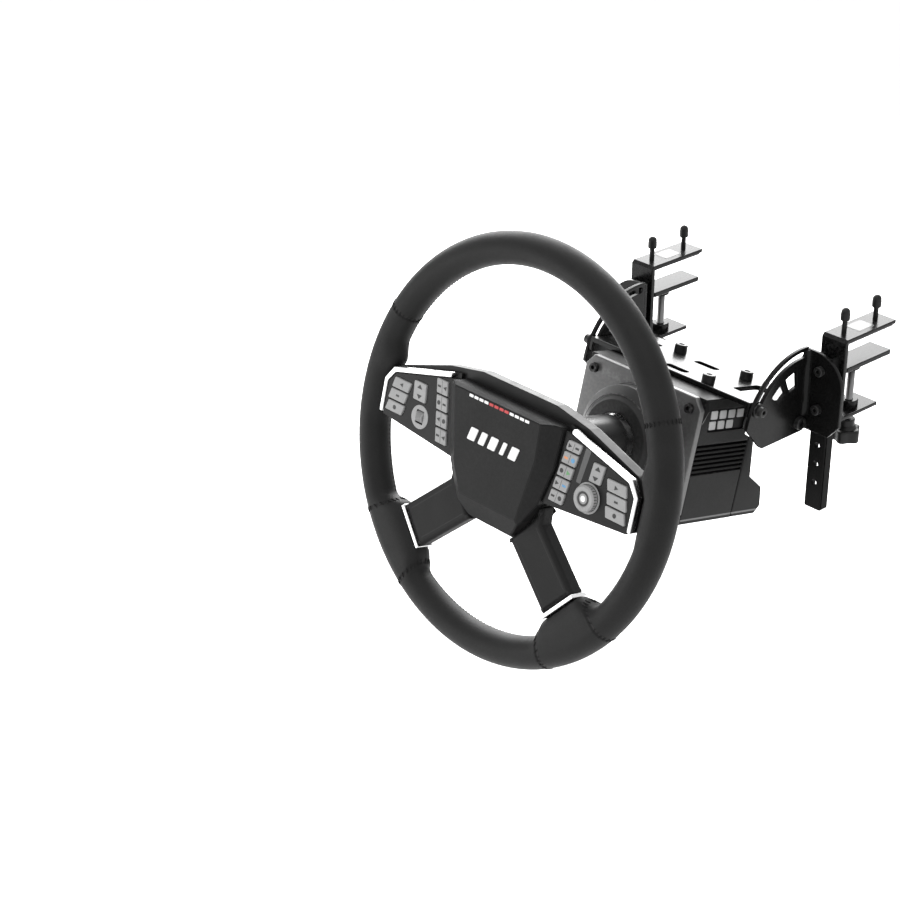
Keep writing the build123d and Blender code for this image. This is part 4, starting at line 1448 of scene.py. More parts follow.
    def build_insets(self, bench: Bench) -> None:
        """Makes the dark inlay between the right strip and the knob, and the left one's frame.

        Args:
            bench: What makes and places the pieces.
        """
        slot = [(93.5, 6.0), (99.0, 6.0), (104.0, 38.0), (97.5, 39.5)]
        drawing = Solid().slab(softened(slot, 1.5), self.face - 1, self.face + 0.15, 0.1)
        bench.piece("right_inlay", drawing, Finishes.KEY_DARK)
        drawing = Solid()
        for side, centre, radius in ((1, self.knob, 14.2), (-1, self.roller, 11.5)):
            hole = circle(self.knob_radius + 0.3, steps=48)
            if side < 0:
                half, high = self.roller_width / 2 + 0.5, self.roller_radius + 0.5
                hole = softened(rectangle((-half, -high), (half, high)), 0.8)
            place = shift(side * centre[0], centre[1], 0)
            drawing.slab(
                circle(radius, steps=48), self.face - 1, self.face + 0.5, (0.05, 0.4), (hole,), place=place
            )
        bench.piece("turner_bezels", drawing, Finishes.KEY)

    def shell(self) -> Solid:
        """Back shell behind the pad and both wings, with a rounded back.

        Returns:
            The drawing.
        """
        right = [tuple(map(float, point)) for point in self.SHELL]
        outline = right + list(reversed(mirrored(right)))
        hole = circle(42.5, steps=64)
        return Solid().slab(
            softened(outline, 9.0, 5), self.shell_back, self.back - 0.15, (6.0, 0.6), (hole,), rounds=6
        )

    def build(self, bench: Bench) -> None:
        """Makes everything on the wings.

        Args:
            bench: What makes and places the pieces.
        """
        bench.piece(
            "wheel_back_shell", self.shell(), Finishes.SHELL, ("hub_back_shell",), sharp=60
        )
        for side, name in ((-1, "left"), (1, "right")):
            bench.piece(
                f"{name}_wing_face", self.panel(side), Finishes.PANEL, (f"{name}_panel",)
            )
            self.build_keys(bench, side)
        trims = self.trim(-1).take(self.trim(1))
        bench.piece("wing_trims", trims, Finishes.CHROME, ("bright_trims",), sharp=60)
        self.build_turners(bench)
        self.build_insets(bench)


@dataclass
class LowerSpokes:
    """Two lower spokes: rounded covers and their bright ends."""

    start: Point = (40.0, -58.0)
    end: Point = (98.0, -110.0)
    width: float = 43.0
    back: float = -8.5
    face: float = 9.0
    trim: float = 4.0
    rounding: float = 4.5

    def point(self, along: float, across: float) -> Point:
        """Point of the right spoke from distances along and across it.

        Args:
            along: Distance along the spoke.
            across: Distance across the spoke.

        Returns:
            The point.
        """
        angle = math.atan2(self.end[1] - self.start[1], self.end[0] - self.start[0])
        x = self.start[0] + along * math.cos(angle) - across * math.sin(angle)
        return (x, self.start[1] + along * math.sin(angle) + across * math.cos(angle))

    def cover(self) -> Outline:
        """Outline of the right cover, from the chin to the trim.

        Returns:
            The outline.
        """
        half, length = self.width / 2, math.dist(self.start, self.end)
        root = [(59.5, -30.5), (46.8, -50.6), (29.5, -72.2), (24.5, -75.0)]
        ends = [self.point(7, -half), self.point(length, -half), self.point(length, half)]
        return [self.point(9, half), *root, *ends]

    def bar(self) -> Outline:
        """Outline of the right trim.

        Returns:
            The outline.
        """
        half, length = (self.width + 1.5) / 2, math.dist(self.start, self.end)
        ends = (length, length + self.trim)
        return [self.point(ends[0], -half), self.point(ends[1], -half), self.point(ends[1], half),
                self.point(ends[0], half)]

    def build(self, bench: Bench) -> None:
        """Makes both covers and both trims.

        Args:
            bench: What makes and places the pieces.
        """
        covers, bars, lines = Solid(), Solid(), Solid()
        for side in (-1, 1):
            covers.slab(
                softened(Wings.sided(self.cover(), side), 1.5), self.back, self.face, self.rounding,
                rounds=6,
            )
            bars.slab(
                softened(Wings.sided(self.bar(), side), 0.9), self.back - 1, self.face + 1, 0.9, rounds=3
            )
            half = self.width / 2 - 6.5
            for across in (-half, half):
                ends = [(8, -0.35), (70, -0.35), (70, 0.35), (8, 0.35)]
                line = [self.point(along, across + by) for along, by in ends]
                lines.slab(Wings.sided(line, side), self.face - 0.4, self.face + 0.02, 0.05, rounds=1)
        bench.piece(
            "lower_spoke_covers", covers, Finishes.PAD, ("spoke_covers",), sharp=60
        )
        bench.piece("lower_spoke_trims", bars, Finishes.CHROME, sharp=60)
        bench.piece("spoke_cover_lines", lines, Finishes.SHELL)


# ---- quick release ----------------------------------------------------------------------------------
@dataclass
class QuickRelease:
    """Adaptor behind the wheel and the grooved collar that slides on it."""

    flange: float = 40.0
    neck: float = 30.0
    collar: float = 34.5
    bore: float = 17.0
    span: Point = (29.0, 57.0)
    end: float = 60.0
    grooves: int = 36

    def adaptor(self) -> Solid:
        """Flange and neck with chamfered edges.

        Returns:
            The drawing.
        """
        profile = [(0, -30), (self.bore, -30), (self.bore, -self.end), (self.neck - 0.8, -self.end)]
        profile += [(self.neck, -self.end + 0.8), (self.neck, -12.5), (self.flange - 1, -12)]
        profile += [(self.flange, -11), (self.flange, -2.8), (self.flange - 0.8, -2), (0, -2)]
        return Solid().turned(profile, 96)

    def sleeve(self) -> Solid:
        """Collar with plain ends and a grooved grip.

        Returns:
            The drawing.
        """
        near, far = -self.span[0], -self.span[1]
        bore = circle(self.neck + 0.1, steps=96)
        drawing = Solid()
        for low, high in ((far, far + 5.5), (near - 5.5, near)):
            drawing.slab(circle(self.collar, steps=96), low, high, 0.9, (bore,))
        grip: Outline = []
        for i in range(self.grooves):
            for turn, depth in ((0.0, 0.0), (0.45, 0.0), (0.58, 1.1), (0.87, 1.1)):
                angle = 2 * math.pi * (i + turn) / self.grooves
                radius = self.collar - 0.35 - depth
                grip.append((radius * math.cos(angle), radius * math.sin(angle)))
        return drawing.slab(
            grip, far + 5.3, near - 5.3, 0.2, (circle(self.neck + 0.1, steps=72),), rounds=1
        )

    def bands(self) -> Solid:
        """Polished bands at the collar's ends.

        Returns:
            The drawing.
        """
        near, far = -self.span[0], -self.span[1]
        drawing = Solid()
        for level in (far + 5.4, near - 5.4):
            profile = [(self.collar - 1.6, level - 0.9), (self.collar - 0.3, level - 0.9)]
            profile += [(self.collar - 0.1, level), (self.collar - 0.3, level + 0.9)]
            profile.append((self.collar - 1.6, level + 0.9))
            drawing.turned(profile, 96)
        return drawing

    def build(self, bench: Bench) -> None:
        """Makes the adaptor and the collar.

        Args:
            bench: What makes and places the pieces.
        """
        bench.piece("qr_neck", self.adaptor(), Finishes.ANODISED_BLACK, ("qr_adaptor",))
        bench.piece(
            "qr_sleeve", self.sleeve(), Finishes.ANODISED_BLACK, ("qr_collar",),
            body="qr_collar",
        )
        bench.piece("qr_bands", self.bands(), Finishes.POLISHED, body="qr_collar")


# ---- direct-drive base ------------------------------------------------------------------------------
@dataclass
class DriveBase:
    """Motor base: front plate with its boss, finned shell and rear cover with its sockets."""

    front: float = 165.0
    plate: float = 6.0
    half: float = 75.0
    core: float = 71.5
    split: float = 248.0
    boss: float = 52.0
    boss_front: float = 139.0
    shaft_hole: float = 26.5
    cap: float = 36.0                 # radius of the rear bearing's housing
    fins: int = 7
    fin_top: float = 17.0
    fin_pitch: float = 4.6
    fin_slot: float = 2.2
    label: tuple[Point, Point] = ((182.0, 30.0), (236.0, 53.0))
    button: Point = (50.0, -6.0)
    button_radius: float = 7.0
    screws: Point = (62.0, 51.0)

    PORTS = ((-41.0, 14.0), (-14.0, 12.0), (12.0, 12.0), (38.0, 12.0))

    def front_plate(self) -> Solid:
        """Front plate with its screw recesses.

        Returns:
            The drawing.
        """
        outline = [(-66, 63), (66, 63), (75, 52), (75, -52), (66, -63), (-66, -63), (-75, -52), (-75, 52)]
        outline = [(float(x), float(y)) for x, y in outline]
        hole = circle(34.0, steps=96)
        places = [(sx * self.screws[0], sv * self.screws[1]) for sx in (-1, 1) for sv in (-1, 1)]
        heads = tuple((circle(4.9, place, 24), 1.2) for place in places)
        return Solid().slab(
            softened(outline, 2.0), -self.front - self.plate, -self.front, (0.1, 1.3), (hole,), heads
        )

    def front_boss(self) -> Solid:
        """Round boss and its cone, open round the shaft.

        Returns:
            The drawing.
        """
        face = -self.boss_front
        profile = [(34, -self.front - self.plate + 0.5), (self.boss, -self.front - self.plate + 0.5)]
        profile += [
            (self.boss + 1.2, -self.front - 0.02), (self.boss, -self.front + 1.2), (self.boss, -149.7)
        ]
        profile += [(self.boss - 0.6, -149), (38.8, face - 0.5), (38, face), (self.shaft_hole + 0.6, face)]
        profile += [(self.shaft_hole, face - 0.6), (self.shaft_hole, face - 3), (34, face - 3)]
        return Solid().turned(profile, 112)

    def boss_groove(self) -> Solid:
        """Dark line turned in the boss and the seal round the shaft.

        Returns:
            The drawing.
        """
        profile = [(43.4, -141.6), (44.4, -142.2), (44.2, -142.6), (43.2, -142.0)]
        drawing = Solid().turned(profile, 112)
        profile = [(25.1, -141.5), (26.6, -141.5), (26.6, -140.2), (25.1, -140.2)]
        return drawing.turned(profile, 96)

    def plates(self, outline: Outline, recesses: tuple = (), edge: float = 0.6) -> Solid:
        """The same side plate on both sides of the base, recessed on its outer face.

        Args:
            outline: Outline of the plate.
            recesses: Recesses of the outer face.
            edge: Radius of the outer rim.

        Returns:
            The drawing.
        """
        drawing = Solid()
        for place in BASE_SIDES:
            drawing.slab(outline, self.core, self.half, (0.1, edge), recesses=recesses, place=place)
        return drawing

    def core_block(self, outline: Outline, edge: float) -> Solid:
        """The middle of the base between the side plates."""
        return Solid().slab(outline, -self.core, self.core, edge, place=BASE_SIDE)

    def shell(self) -> Solid:
        """Aluminium shell without its fins.

        Returns:
            The drawing.
        """
        start = self.front + self.plate + 0.25
        last = self.split - 0.2
        outline = [(start, 63.0), (238.0, 63.0), (242.0, 24.0), (last, 21.5), (last, -63.0), (start, -63.0)]
        drawing = self.core_block(outline, 0.1)
        low, high = self.label
        upper = [(start, 63.0), (238.0, 63.0), (242.0, 24.0), (last, 21.5)]
        upper += [(last, self.fin_top), (start, self.fin_top)]
        badge = softened(
            [(low[0], low[1]), (high[0], low[1]), (high[0] - 1, high[1]), (low[0], high[1])], 1.6
        )
        drawing.take(self.plates(upper, ((badge, 2.0),), 1.2))
        floor = self.fin_top - self.fin_pitch * (self.fins - 1) - self.fin_slot
        lower = [(start, floor), (last, floor), (last, -63.0), (start, -63.0)]
        drawing.take(self.plates(lower, (), 1.2))
        return drawing.slab(circle(self.cap, steps=64), -self.split + 1.5, -self.split + 16, (1.2, 0.2))

    def fin_bars(self) -> Solid:
        """Cooling fins between the slots, on both sides.

        Returns:
            The drawing.
        """
        drawing = Solid()
        start = self.front + self.plate + 0.25
        for i in range(self.fins - 1):
            high = self.fin_top - self.fin_pitch * i - self.fin_slot
            low = self.fin_top - self.fin_pitch * (i + 1)
            bar = rectangle((start, low), (self.split - 0.2, high))
            drawing.take(self.plates(bar, (), 0.5))
        return drawing

    def rear(self) -> Solid:
        """Rear cover with its stepped back.

        Returns:
            The drawing.
        """
        first = self.split + 0.2
        outline = [
            (first, 21.3), (258.0, 17.0), (266.0, -22.0), (288.0, -35.0), (293.0, -55.0), (286.0, -63.0)
        ]
        outline.append((first, -63.0))
        return Solid().slab(softened(outline, 1.6), -self.half, self.half, 1.6, place=BASE_SIDE)

    def sockets(self) -> tuple[Solid, Solid]:
        """Frames round the sockets at the back, and their contacts.

        Returns:
            Both drawings.
        """
        shells, contacts = Solid(), Solid()
        for x, width in self.PORTS:
            hole = softened(rectangle((x - width / 2 + 0.9, -52.1), (x + width / 2 - 0.9, -45.9)), 0.9)
            rim = softened(rectangle((x - width / 2 - 0.8, -53.8), (x + width / 2 + 0.8, -44.2)), 1.4)
            shells.slab(rim, -292.9, -287.6, 0.3, (hole,))
            contacts.slab(rectangle((x - width / 4, -49.6), (x + width / 4, -48.4)), -292.0, -288.0, 0.1)
        return shells, contacts

    def label_plate(self) -> tuple[Solid, Solid]:
        """Plain pale bars in the label recess and a thin frame round it, on both sides.

        Returns:
            Both drawings.
        """
        (low_a, low_v), (high_a, high_v) = self.label
        bars, frame = Solid(), Solid()
        outline = softened(rectangle((low_a - 4.5, low_v - 3.8), (high_a + 0.6, high_v + 4)), 2.0)
        for place in BASE_SIDES:
            for row in range(2):
                for i in range(4 - row):
                    a = low_a + 2 + i * 13.0
                    v = high_v - 11.0 - row * 10.4
                    shape = [(a + 1, v), (a + 10.6, v), (a + 9.4, v + 8.4), (a - 0.2, v + 8.4)]
                    bars.slab(softened(shape, 1.2), self.half - 2.1, self.half - 1.2, 0.2, place=place)
            frame.slab(
                outline, self.half - 0.6, self.half - 0.02, 0.1, (grown(outline, -0.9),), place=place
            )
        return bars, frame

    def side_strips(self) -> tuple[Solid, Solid]:
        """Painted shade for a chamfered facet behind the front plate, and painted highlights along that
        facet's edge and along the bottom, on both sides.

        Returns:
            Both drawings.
        """
        painted_facet_shade, painted_highlights = Solid(), Solid()
        for place in BASE_SIDES:
            # Painted shade: a flush dark patch where a chamfered facet would turn away from the light.
            facet = [(171.6, 61.5), (173.5, 61.5), (178.0, 51.0), (171.6, 40.0)]
            painted_facet_shade.slab(facet, self.half - 0.5, self.half + 0.03, 0.03, place=place)
            # Painted highlight: a flush pale sliver along the facet's edge.
            ridge = [(178.0, 51.0), (178.7, 51.0), (172.2, 38.4), (171.6, 40.0)]
            painted_highlights.slab(ridge, self.half - 0.5, self.half + 0.04, 0.03, place=place)
            # Painted highlights: flush pale lines along the bottom edge of the case and of the rear cover.
            line = [(171.6, -59.4), (247.4, -59.4), (247.4, -57.6), (171.6, -57.6)]
            painted_highlights.slab(line, self.half - 0.5, self.half + 0.03, 0.03, place=place)
            line = [(248.6, -59.4), (287.6, -59.4), (288.4, -57.6), (248.6, -57.6)]
            painted_highlights.slab(line, self.half - 0.5, self.half + 0.03, 0.03, place=place)
        return painted_facet_shade, painted_highlights

    def build(self, bench: Bench) -> None:
        """Makes the base's visible pieces.

        Args:
            bench: What makes and places the pieces.
        """
        bench.piece(
            "base_front", self.front_plate(), Finishes.ANODISED_GREY, ("front_plate",)
        )
        bench.piece("base_boss", self.front_boss(), Finishes.BOSS)
        bench.piece("boss_groove", self.boss_groove(), Finishes.ANODISED_BLACK)
        bench.piece("base_case", self.shell(), Finishes.CASE, ("base_shell",))
        bench.piece("cooling_fins", self.fin_bars(), Finishes.FIN)
        bench.piece("base_rear", self.rear(), Finishes.CASE, ("rear_cover",))
        shells, contacts = self.sockets()
        bench.piece("socket_shells", shells, Finishes.ZINC)
        bench.piece("socket_contacts", contacts, Finishes.LEGEND_BLACK)
        bars, outline = self.label_plate()
        bench.piece("label_bars", bars, Finishes.LABEL)
        bench.piece("label_outline", outline, Finishes.ANODISED_GREY)
        # Painted shade on the side facets and painted highlights along the side edges.
        painted_facet_shade, painted_highlights = self.side_strips()
        bench.piece("side_facets", painted_facet_shade, Finishes.FIN)
        bench.piece("side_strips", painted_highlights, Finishes.ANODISED_GREY)
        place = shift(*self.button, 0)
        cap = Solid().slab(circle(self.button_radius, steps=48), -265, -256, (0.9, 0.3), place=place)
        bench.piece(
            "power_cap", cap, Finishes.KEY_DARK, ("power_button",), body="power_button"
        )


# ---- tilting cradle ---------------------------------------------------------------------------------
@dataclass
class TiltCradle:
    """Bent sheet that the base hangs from, with its bolts."""

    half: float = 103.4
    sheet: float = 4.0
    along: Point = (198.0, 284.0)
    level: Point = (63.0, 68.0)
    bolts_x: float = 43.0
    bolts_a: Point = (208.0, 266.0)
    pivot: Point = (274.8, 44.8)
    lock: Point = (206.4, 61.9)

    def measure(self, column: Matrix) -> None:
        """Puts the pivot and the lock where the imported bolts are."""
        inverse = column.inverted()
        for name, key in (("pivot_bolts", "pivot"), ("lock_bolts", "lock")):
            low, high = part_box(name)
            middle = inverse @ ((low + high) / 2)
            setattr(self, key, (-middle.z / MM, middle.y / MM))

    def top_plate(self) -> Solid:
        """Flat top with its slots and windows.

        Returns:
            The drawing.
        """
        holes = [rectangle((-14, -216), (14, -206)), rectangle((-14, -262), (14, -252))]
        holes += [rectangle((-82, -262), (-62, -222)), rectangle((62, -262), (82, -222))]
        outline = rectangle((-self.half + 0.2, -self.along[1]), (self.half - 0.2, -self.along[0]))
        lying = Matrix(((1, 0, 0, 0), (0, 0, 1, 0), (0, 1, 0, 0), (0, 0, 0, 1)))
        cut = tuple(softened([(float(x), float(z)) for x, z in hole], 4.0) for hole in holes)
        return Solid().slab(softened(outline, 1.2), self.level[0], self.level[1], 0.9, cut, place=lying)

    def cheeks(self) -> Solid:
        """Side cheeks that hang beside the arc brackets.

        Returns:
            The drawing.
        """
        pivot_a, pivot_v = self.pivot
        lock_a, lock_v = self.lock
        outline = [(self.along[0], self.level[1] - 0.6), (self.along[1], self.level[1] - 0.6)]
        outline += [(self.along[1] + 2, pivot_v), (pivot_a + 5, pivot_v - 10), (pivot_a - 7, pivot_v - 10)]
        outline += [(lock_a + 8, lock_v - 9), (self.along[0], lock_v - 9)]
        shape = softened(outline, 4.0)
        drawing = Solid()
        for place in BASE_SIDES:
            drawing.slab(shape, self.half - self.sheet, self.half, 0.7, place=place)
        return drawing

    def upright(self, x: float, a: float) -> Matrix:
        """Frame of a vertical bolt, its head's underside on the top plate."""
        turn = Matrix(((1, 0, 0, 0), (0, 0, 1, 0), (0, -1, 0, 0), (0, 0, 0, 1)))
        return shift(x, self.level[1], -a) @ turn

    def across(self, side: int, x: float, point: Point) -> Matrix:
        """Frame of a bolt that points into the base from one side."""
        return frame_of((side * x, point[1], -point[0]), (0, 0, -1), (side, 0, 0))

    def build(self, bench: Bench) -> None:
        """Makes the cradle and its bolts.

        Args:
            bench: What makes and places the pieces.
        """
        cradle = self.top_plate().take(self.cheeks())
        bench.piece("tilt_cradle_sheet", cradle, Finishes.COAT, ("tilt_cradle",))
        bolts = Solid()
        for x in (-self.bolts_x, self.bolts_x):
            for a in self.bolts_a:
                bolts.take(hex_screw(6.5, 8, 4, 4.6, 5), self.upright(x, a))
        bench.piece("cradle_bolt_heads", bolts, Finishes.SCREW, ("cradle_bolts",))
        locks = Solid()
        for side in (-1, 1):
            washer = Solid().slab(circle(7.0), 0, 1.6, 0.3)
            locks.take(washer, self.across(side, 108.4, self.lock))
            locks.take(hex_screw(5.0, 6, 3, 8.5, 4), self.across(side, 110.0, self.lock))
        bench.piece("lock_bolt_heads", locks, Finishes.SCREW, ("lock_bolts",))


# ---- desk mount -------------------------------------------------------------------------------------
@dataclass
class ArcBrackets:
    """Bent side brackets: a fan with the arc slot and a flange bolted to the leg."""

    pivot: Point = (-28.5, -82.0)
    inner: float = 104.0
    sheet: float = 4.0
    radius: float = 77.5
    slot: float = 70.5
    slot_width: float = 6.6
    slot_span: Point = (89.0, 154.5)
    front: float = -21.0
    width: float = 46.0
    level: Point = (-90.0, -7.0)
    fillet: float = 5.0

    def measure(self) -> None:
        """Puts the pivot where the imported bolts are."""
        low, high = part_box("pivot_bolts")
        middle = (low + high) / 2 / MM
        self.pivot = (middle.y, middle.z)

    def polar(self, radius: float, degrees: float) -> Point:
        """Point at a distance and angle from the pivot."""
        angle = math.radians(degrees)
        return (self.pivot[0] + radius * math.cos(angle), self.pivot[1] + radius * math.sin(angle))

    def sector(self, low: float, high: float, first: float, last: float, steps: int = 14) -> Outline:
        """Ring segment about the pivot.

        Args:
            low: Inner radius.
            high: Outer radius.
            first: First polar angle.
            last: Last polar angle.
            steps: Number of chords in each arc.

        Returns:
            The outline.
        """
        spread = [first + (last - first) * i / steps for i in range(steps + 1)]
        outer = [self.polar(high, angle) for angle in spread]
        return outer + [self.polar(low, angle) for angle in reversed(spread)]

    def arc_slot(self) -> Outline:
        """Long slot with round ends.

        Returns:
            The outline.
        """
        half, (first, last) = self.slot_width / 2, self.slot_span
        low = arc(half, last, last + 180, 8, self.polar(self.slot, last))
        spread = [last + (first - last) * i / 24 for i in range(1, 24)]
        inner = [self.polar(self.slot - half, angle) for angle in spread]
        high = arc(half, first + 180, first + 360, 8, self.polar(self.slot, first))
        outer = [self.polar(self.slot + half, angle) for angle in reversed(spread)]
        return low + inner + high + outer

    def fan(self) -> Outline:
        """Outline of the side plate.

        Returns:
            The outline.
        """
        curve = [self.polar(self.radius, 84 + 2.1 * i) for i in range(41)]
        tail = [
            (-84.0, -90.0), (-80.0, -93.0), (self.front + 0.2, -93.0), (self.front + 0.2, self.level[1])
        ]
        return curve + tail

    def flange(self) -> Outline:
        """Outline of the front flange, with its round top corner.

        Returns:
            The outline.
        """
        corner = self.width - 12
        points = [(self.inner + 0.2, self.level[0]), (self.inner + self.width - 12, self.level[0])]
        points.append((self.inner + self.width, self.level[0] + 14))
        points += arc(corner, 0, 90, 16, (self.inner + 12, self.level[1] - corner))
        return points + [(self.inner + 0.2, self.level[1])]

    def bracket(self) -> Solid:
        """The right bracket.

        Returns:
            The drawing.
        """
        holes = [self.arc_slot()]
        holes += [softened(self.sector(40, 57, 98, 114), 2.0), softened(self.sector(44, 57, 121, 137), 2.0)]
        drawing = Solid().slab(
            self.fan(), self.inner, self.inner + self.sheet, 0.7, tuple(holes), place=SIDE_VIEW
        )
        drawing.slab(self.flange(), -self.front - self.sheet, -self.front, 0.7, place=FRONT_VIEW)
        corner = (self.inner + self.sheet, self.front)
        curve = arc(self.fillet, 90, 180, 8, (corner[0] + self.fillet, corner[1] - self.fillet))
        bend = [(corner[0] - 0.5, corner[1] + 0.5), (corner[0] - 0.5, corner[1] - self.fillet)]
        bend += list(reversed(curve)) + [(corner[0] + self.fillet, corner[1] + 0.5)]
        return drawing.slab(bend, self.level[0] + 0.5, self.level[1] - 0.7, 0.1)

    def build(self, bench: Bench) -> None:
        """Makes both brackets, their bolts and the pivot bolts.

        Args:
            bench: What makes and places the pieces.
        """
        for side, name in ((-1, "left"), (1, "right")):
            drawing = self.bracket()
            placed = Solid().take(drawing, FLIP) if side < 0 else drawing
            bench.piece(
                f"{name}_arc_sheet", placed, Finishes.COAT, (f"{name}_arc_bracket",), sharp=30
            )
        bolts, pivots = Solid(), Solid()
        for side in (-1, 1):
            for z in (-24.5, -64.5):
                place = frame_of((side * 124.0, self.front, z), (1, 0, 0), (0, -1, 0))
                bolts.take(hex_screw(5.0, 5, 3, 9, 4), place)
                nut = Solid().slab(polygon(10, 6), -12.0, -7.0, 0.6, (circle(2.9, steps=16),))
                bolts.take(nut, place)
            place = frame_of((side * (self.inner + self.sheet), *self.pivot), (0, 1, 0), (side, 0, 0))
            pivots.take(hex_screw(6.5, 5, 4, 8.5, 6), place)
        bench.piece("bracket_bolt_heads", bolts, Finishes.SCREW, ("bracket_bolts",))
        bench.piece("pivot_bolt_heads", pivots, Finishes.SCREW, ("pivot_bolts",))


@dataclass
class DeskClamps:
    """Two C-clamps with their legs, pads, pressure plates and hand screws."""

    x: float = 124.0
    half: float = 14.5
    spine: float = 5.0
    jaw: Point = (2.0, 6.0)
    jaw_length: float = 71.0
    arm: Point = (-79.0, -75.0)
    arm_length: float = 53.0
    screw_y: float = 27.0
    screw_radius: float = 4.0
    gap: float = 25.0
    press: Point = (2.0, 70.0)
    knob: Point = (-112.0, -97.0)
    knob_radius: float = 15.0
    bolts: Point = (9.5, 57.0)
    leg_half: float = 9.5
    leg_depth: float = 12.0
    leg_z: Point = (-173.0, -12.0)
    holes: tuple[float, ...] = tuple(-24.5 - 20.0 * i for i in range(7))

    def frame(self) -> Solid:
        """C-frame about x = 0: round-bent sheet with a boss for the screw.

        Returns:
            The drawing.
        """
        top, low = self.jaw[1], self.arm[0]
        path = [(-self.spine, low + 3), (-self.spine + 3, low), (self.arm_length, low)]
        path += [
            (self.arm_length, self.arm[1]), (2.5, self.arm[1]), (0, self.arm[1] + 2.5),
            (0, self.jaw[0] - 0.1), (0.1, self.jaw[0]),
        ]
        path += [
            (self.jaw_length - 1, self.jaw[0]), (self.jaw_length, self.jaw[0] + 1), (self.jaw_length, top)
        ]
        path += [(-self.spine + 3, top), (-self.spine, top - 3)]
        drawing = Solid().slab(path, -self.half, self.half, 0.9, place=SIDE_VIEW)
        boss = [
            (self.screw_radius + 0.1, self.arm[1] - 0.5), (9, self.arm[1] - 0.5), (9, self.arm[1] + 6.2)
        ]
        boss += [(8.2, self.arm[1] + 7), (self.screw_radius + 0.1, self.arm[1] + 7)]
        return drawing.turned(boss, 40, shift(0, self.screw_y, 0))

    def patch(self) -> Solid:
        """Inlaid rectangle on the top jaw."""
        outline = softened(rectangle((-8, 23), (8, 44)), 1.4)
        return Solid().slab(outline, self.jaw[1] - 1, self.jaw[1] + 0.25, 0.15)

    def patch_frame(self) -> Solid:
        """Fine line round the inlay."""
        outline = softened(rectangle((-9, 22), (9, 45)), 1.8)
        return Solid().slab(outline, self.jaw[1] - 1, self.jaw[1] + 0.08, 0.03, (grown(outline, -0.7),))

    def pads(self) -> Solid:
        """Rubber under the top jaw."""
        return Solid().slab(rectangle((-12.5, 2), (12.5, 69)), 0.0, self.jaw[0], 0.25)

    def jaw_bolt(self) -> Solid:
        """Tall bolt with a domed head.

        Returns:
            The drawing.
        """
        profile = [(0, 0.6), (2.5, 0.6), (2.5, 19.0), (3.9, 19.0), (4.6, 19.7)]
        profile += [(4.6, 25.6), (4.3, 26.4), (4.3, 27.2)]
        profile += [(r, z) for r, z in arc(4.4, 4, 84, 8, (0, 27.2))] + [(0, 31.6)]
        return Solid().turned(profile, 28)

    def leg(self) -> Solid:
        """Channel leg with its row of holes.

        Returns:
            The drawing.
        """
        front, back = -self.leg_depth - self.spine, -self.spine
        low, high = self.leg_z
        holes = tuple(circle(3.0, (0, z), 24) for z in self.holes)
        face = rectangle((-self.leg_half, low), (self.leg_half, high))
        drawing = Solid().slab(softened(face, 2.0), -front - 3, -front, (0.1, 0.9), holes, place=FRONT_VIEW)
        for side in (-1, 1):
            wall = rectangle((front + 0.8, low), (back, high))
            x = (self.leg_half - 3, self.leg_half) if side > 0 else (-self.leg_half, -self.leg_half + 3)
            drawing.slab(wall, x[0], x[1], 0.5, place=SIDE_VIEW)
        return drawing

    def plate(self) -> Solid:
        """Pressure plate with its hub.

        Returns:
            The drawing.
        """
        outline = softened(rectangle((-13, self.press[0]), (13, self.press[1])), 2.2)
        drawing = Solid().slab(outline, -self.gap - 5, -self.gap, 0.8)
        hub = [(self.screw_radius + 0.1, -self.gap - 11), (7.2, -self.gap - 11), (8, -self.gap - 10.2)]
        hub += [(8, -self.gap - 4.6), (self.screw_radius + 0.1, -self.gap - 4.6)]
        return drawing.turned(hub, 36, shift(0, self.screw_y, 0))

    def screw(self) -> Solid:
        """Threaded rod.

        Returns:
            The drawing.
        """
        low, high = self.knob[0] + 3, -self.gap - 4.1
        profile = [(0, low), (3.2, low)]
        turns = int((high - low - 6) / 1.25)
        for i in range(turns):
            z = low + 1 + i * 1.25
            profile += [(3.35, z), (3.95, z + 0.62)]
        profile += [(3.35, high - 4), (3.35, high - 0.6), (2.8, high), (0, high)]
        return Solid().turned(profile, 24, shift(0, self.screw_y, 0))

    def hand_knob(self) -> Solid:
        """Five-lobed knob with its neck.

        Returns:
            The drawing.
        """
        low, high = self.knob
        outline: Outline = []
        for i in range(100):
            turn = 2 * math.pi * i / 100
            radius = self.knob_radius - 1.5 + 1.5 * math.cos(5 * turn)
            outline.append((radius * math.cos(turn), radius * math.sin(turn)))
        drawing = Solid().slab(
            outline, low, high - 2, (1.6, 2.2), rounds=4, place=shift(0, self.screw_y, 0)
        )
        neck = [(self.screw_radius - 0.1, high - 3), (10.4, high - 2.6), (9.2, high), (8, high + 1.4)]
        neck += [(8, high + 7.4), (7.4, high + 8), (self.screw_radius - 0.1, high + 8)]
        return drawing.turned(neck, 40, shift(0, self.screw_y, 0))

    def both(self, maker: Callable[[], Solid]) -> Solid:
        """The same drawing at both clamps."""
        return Solid().take(maker(), shift(-self.x, 0, 0)).take(maker(), shift(self.x, 0, 0))

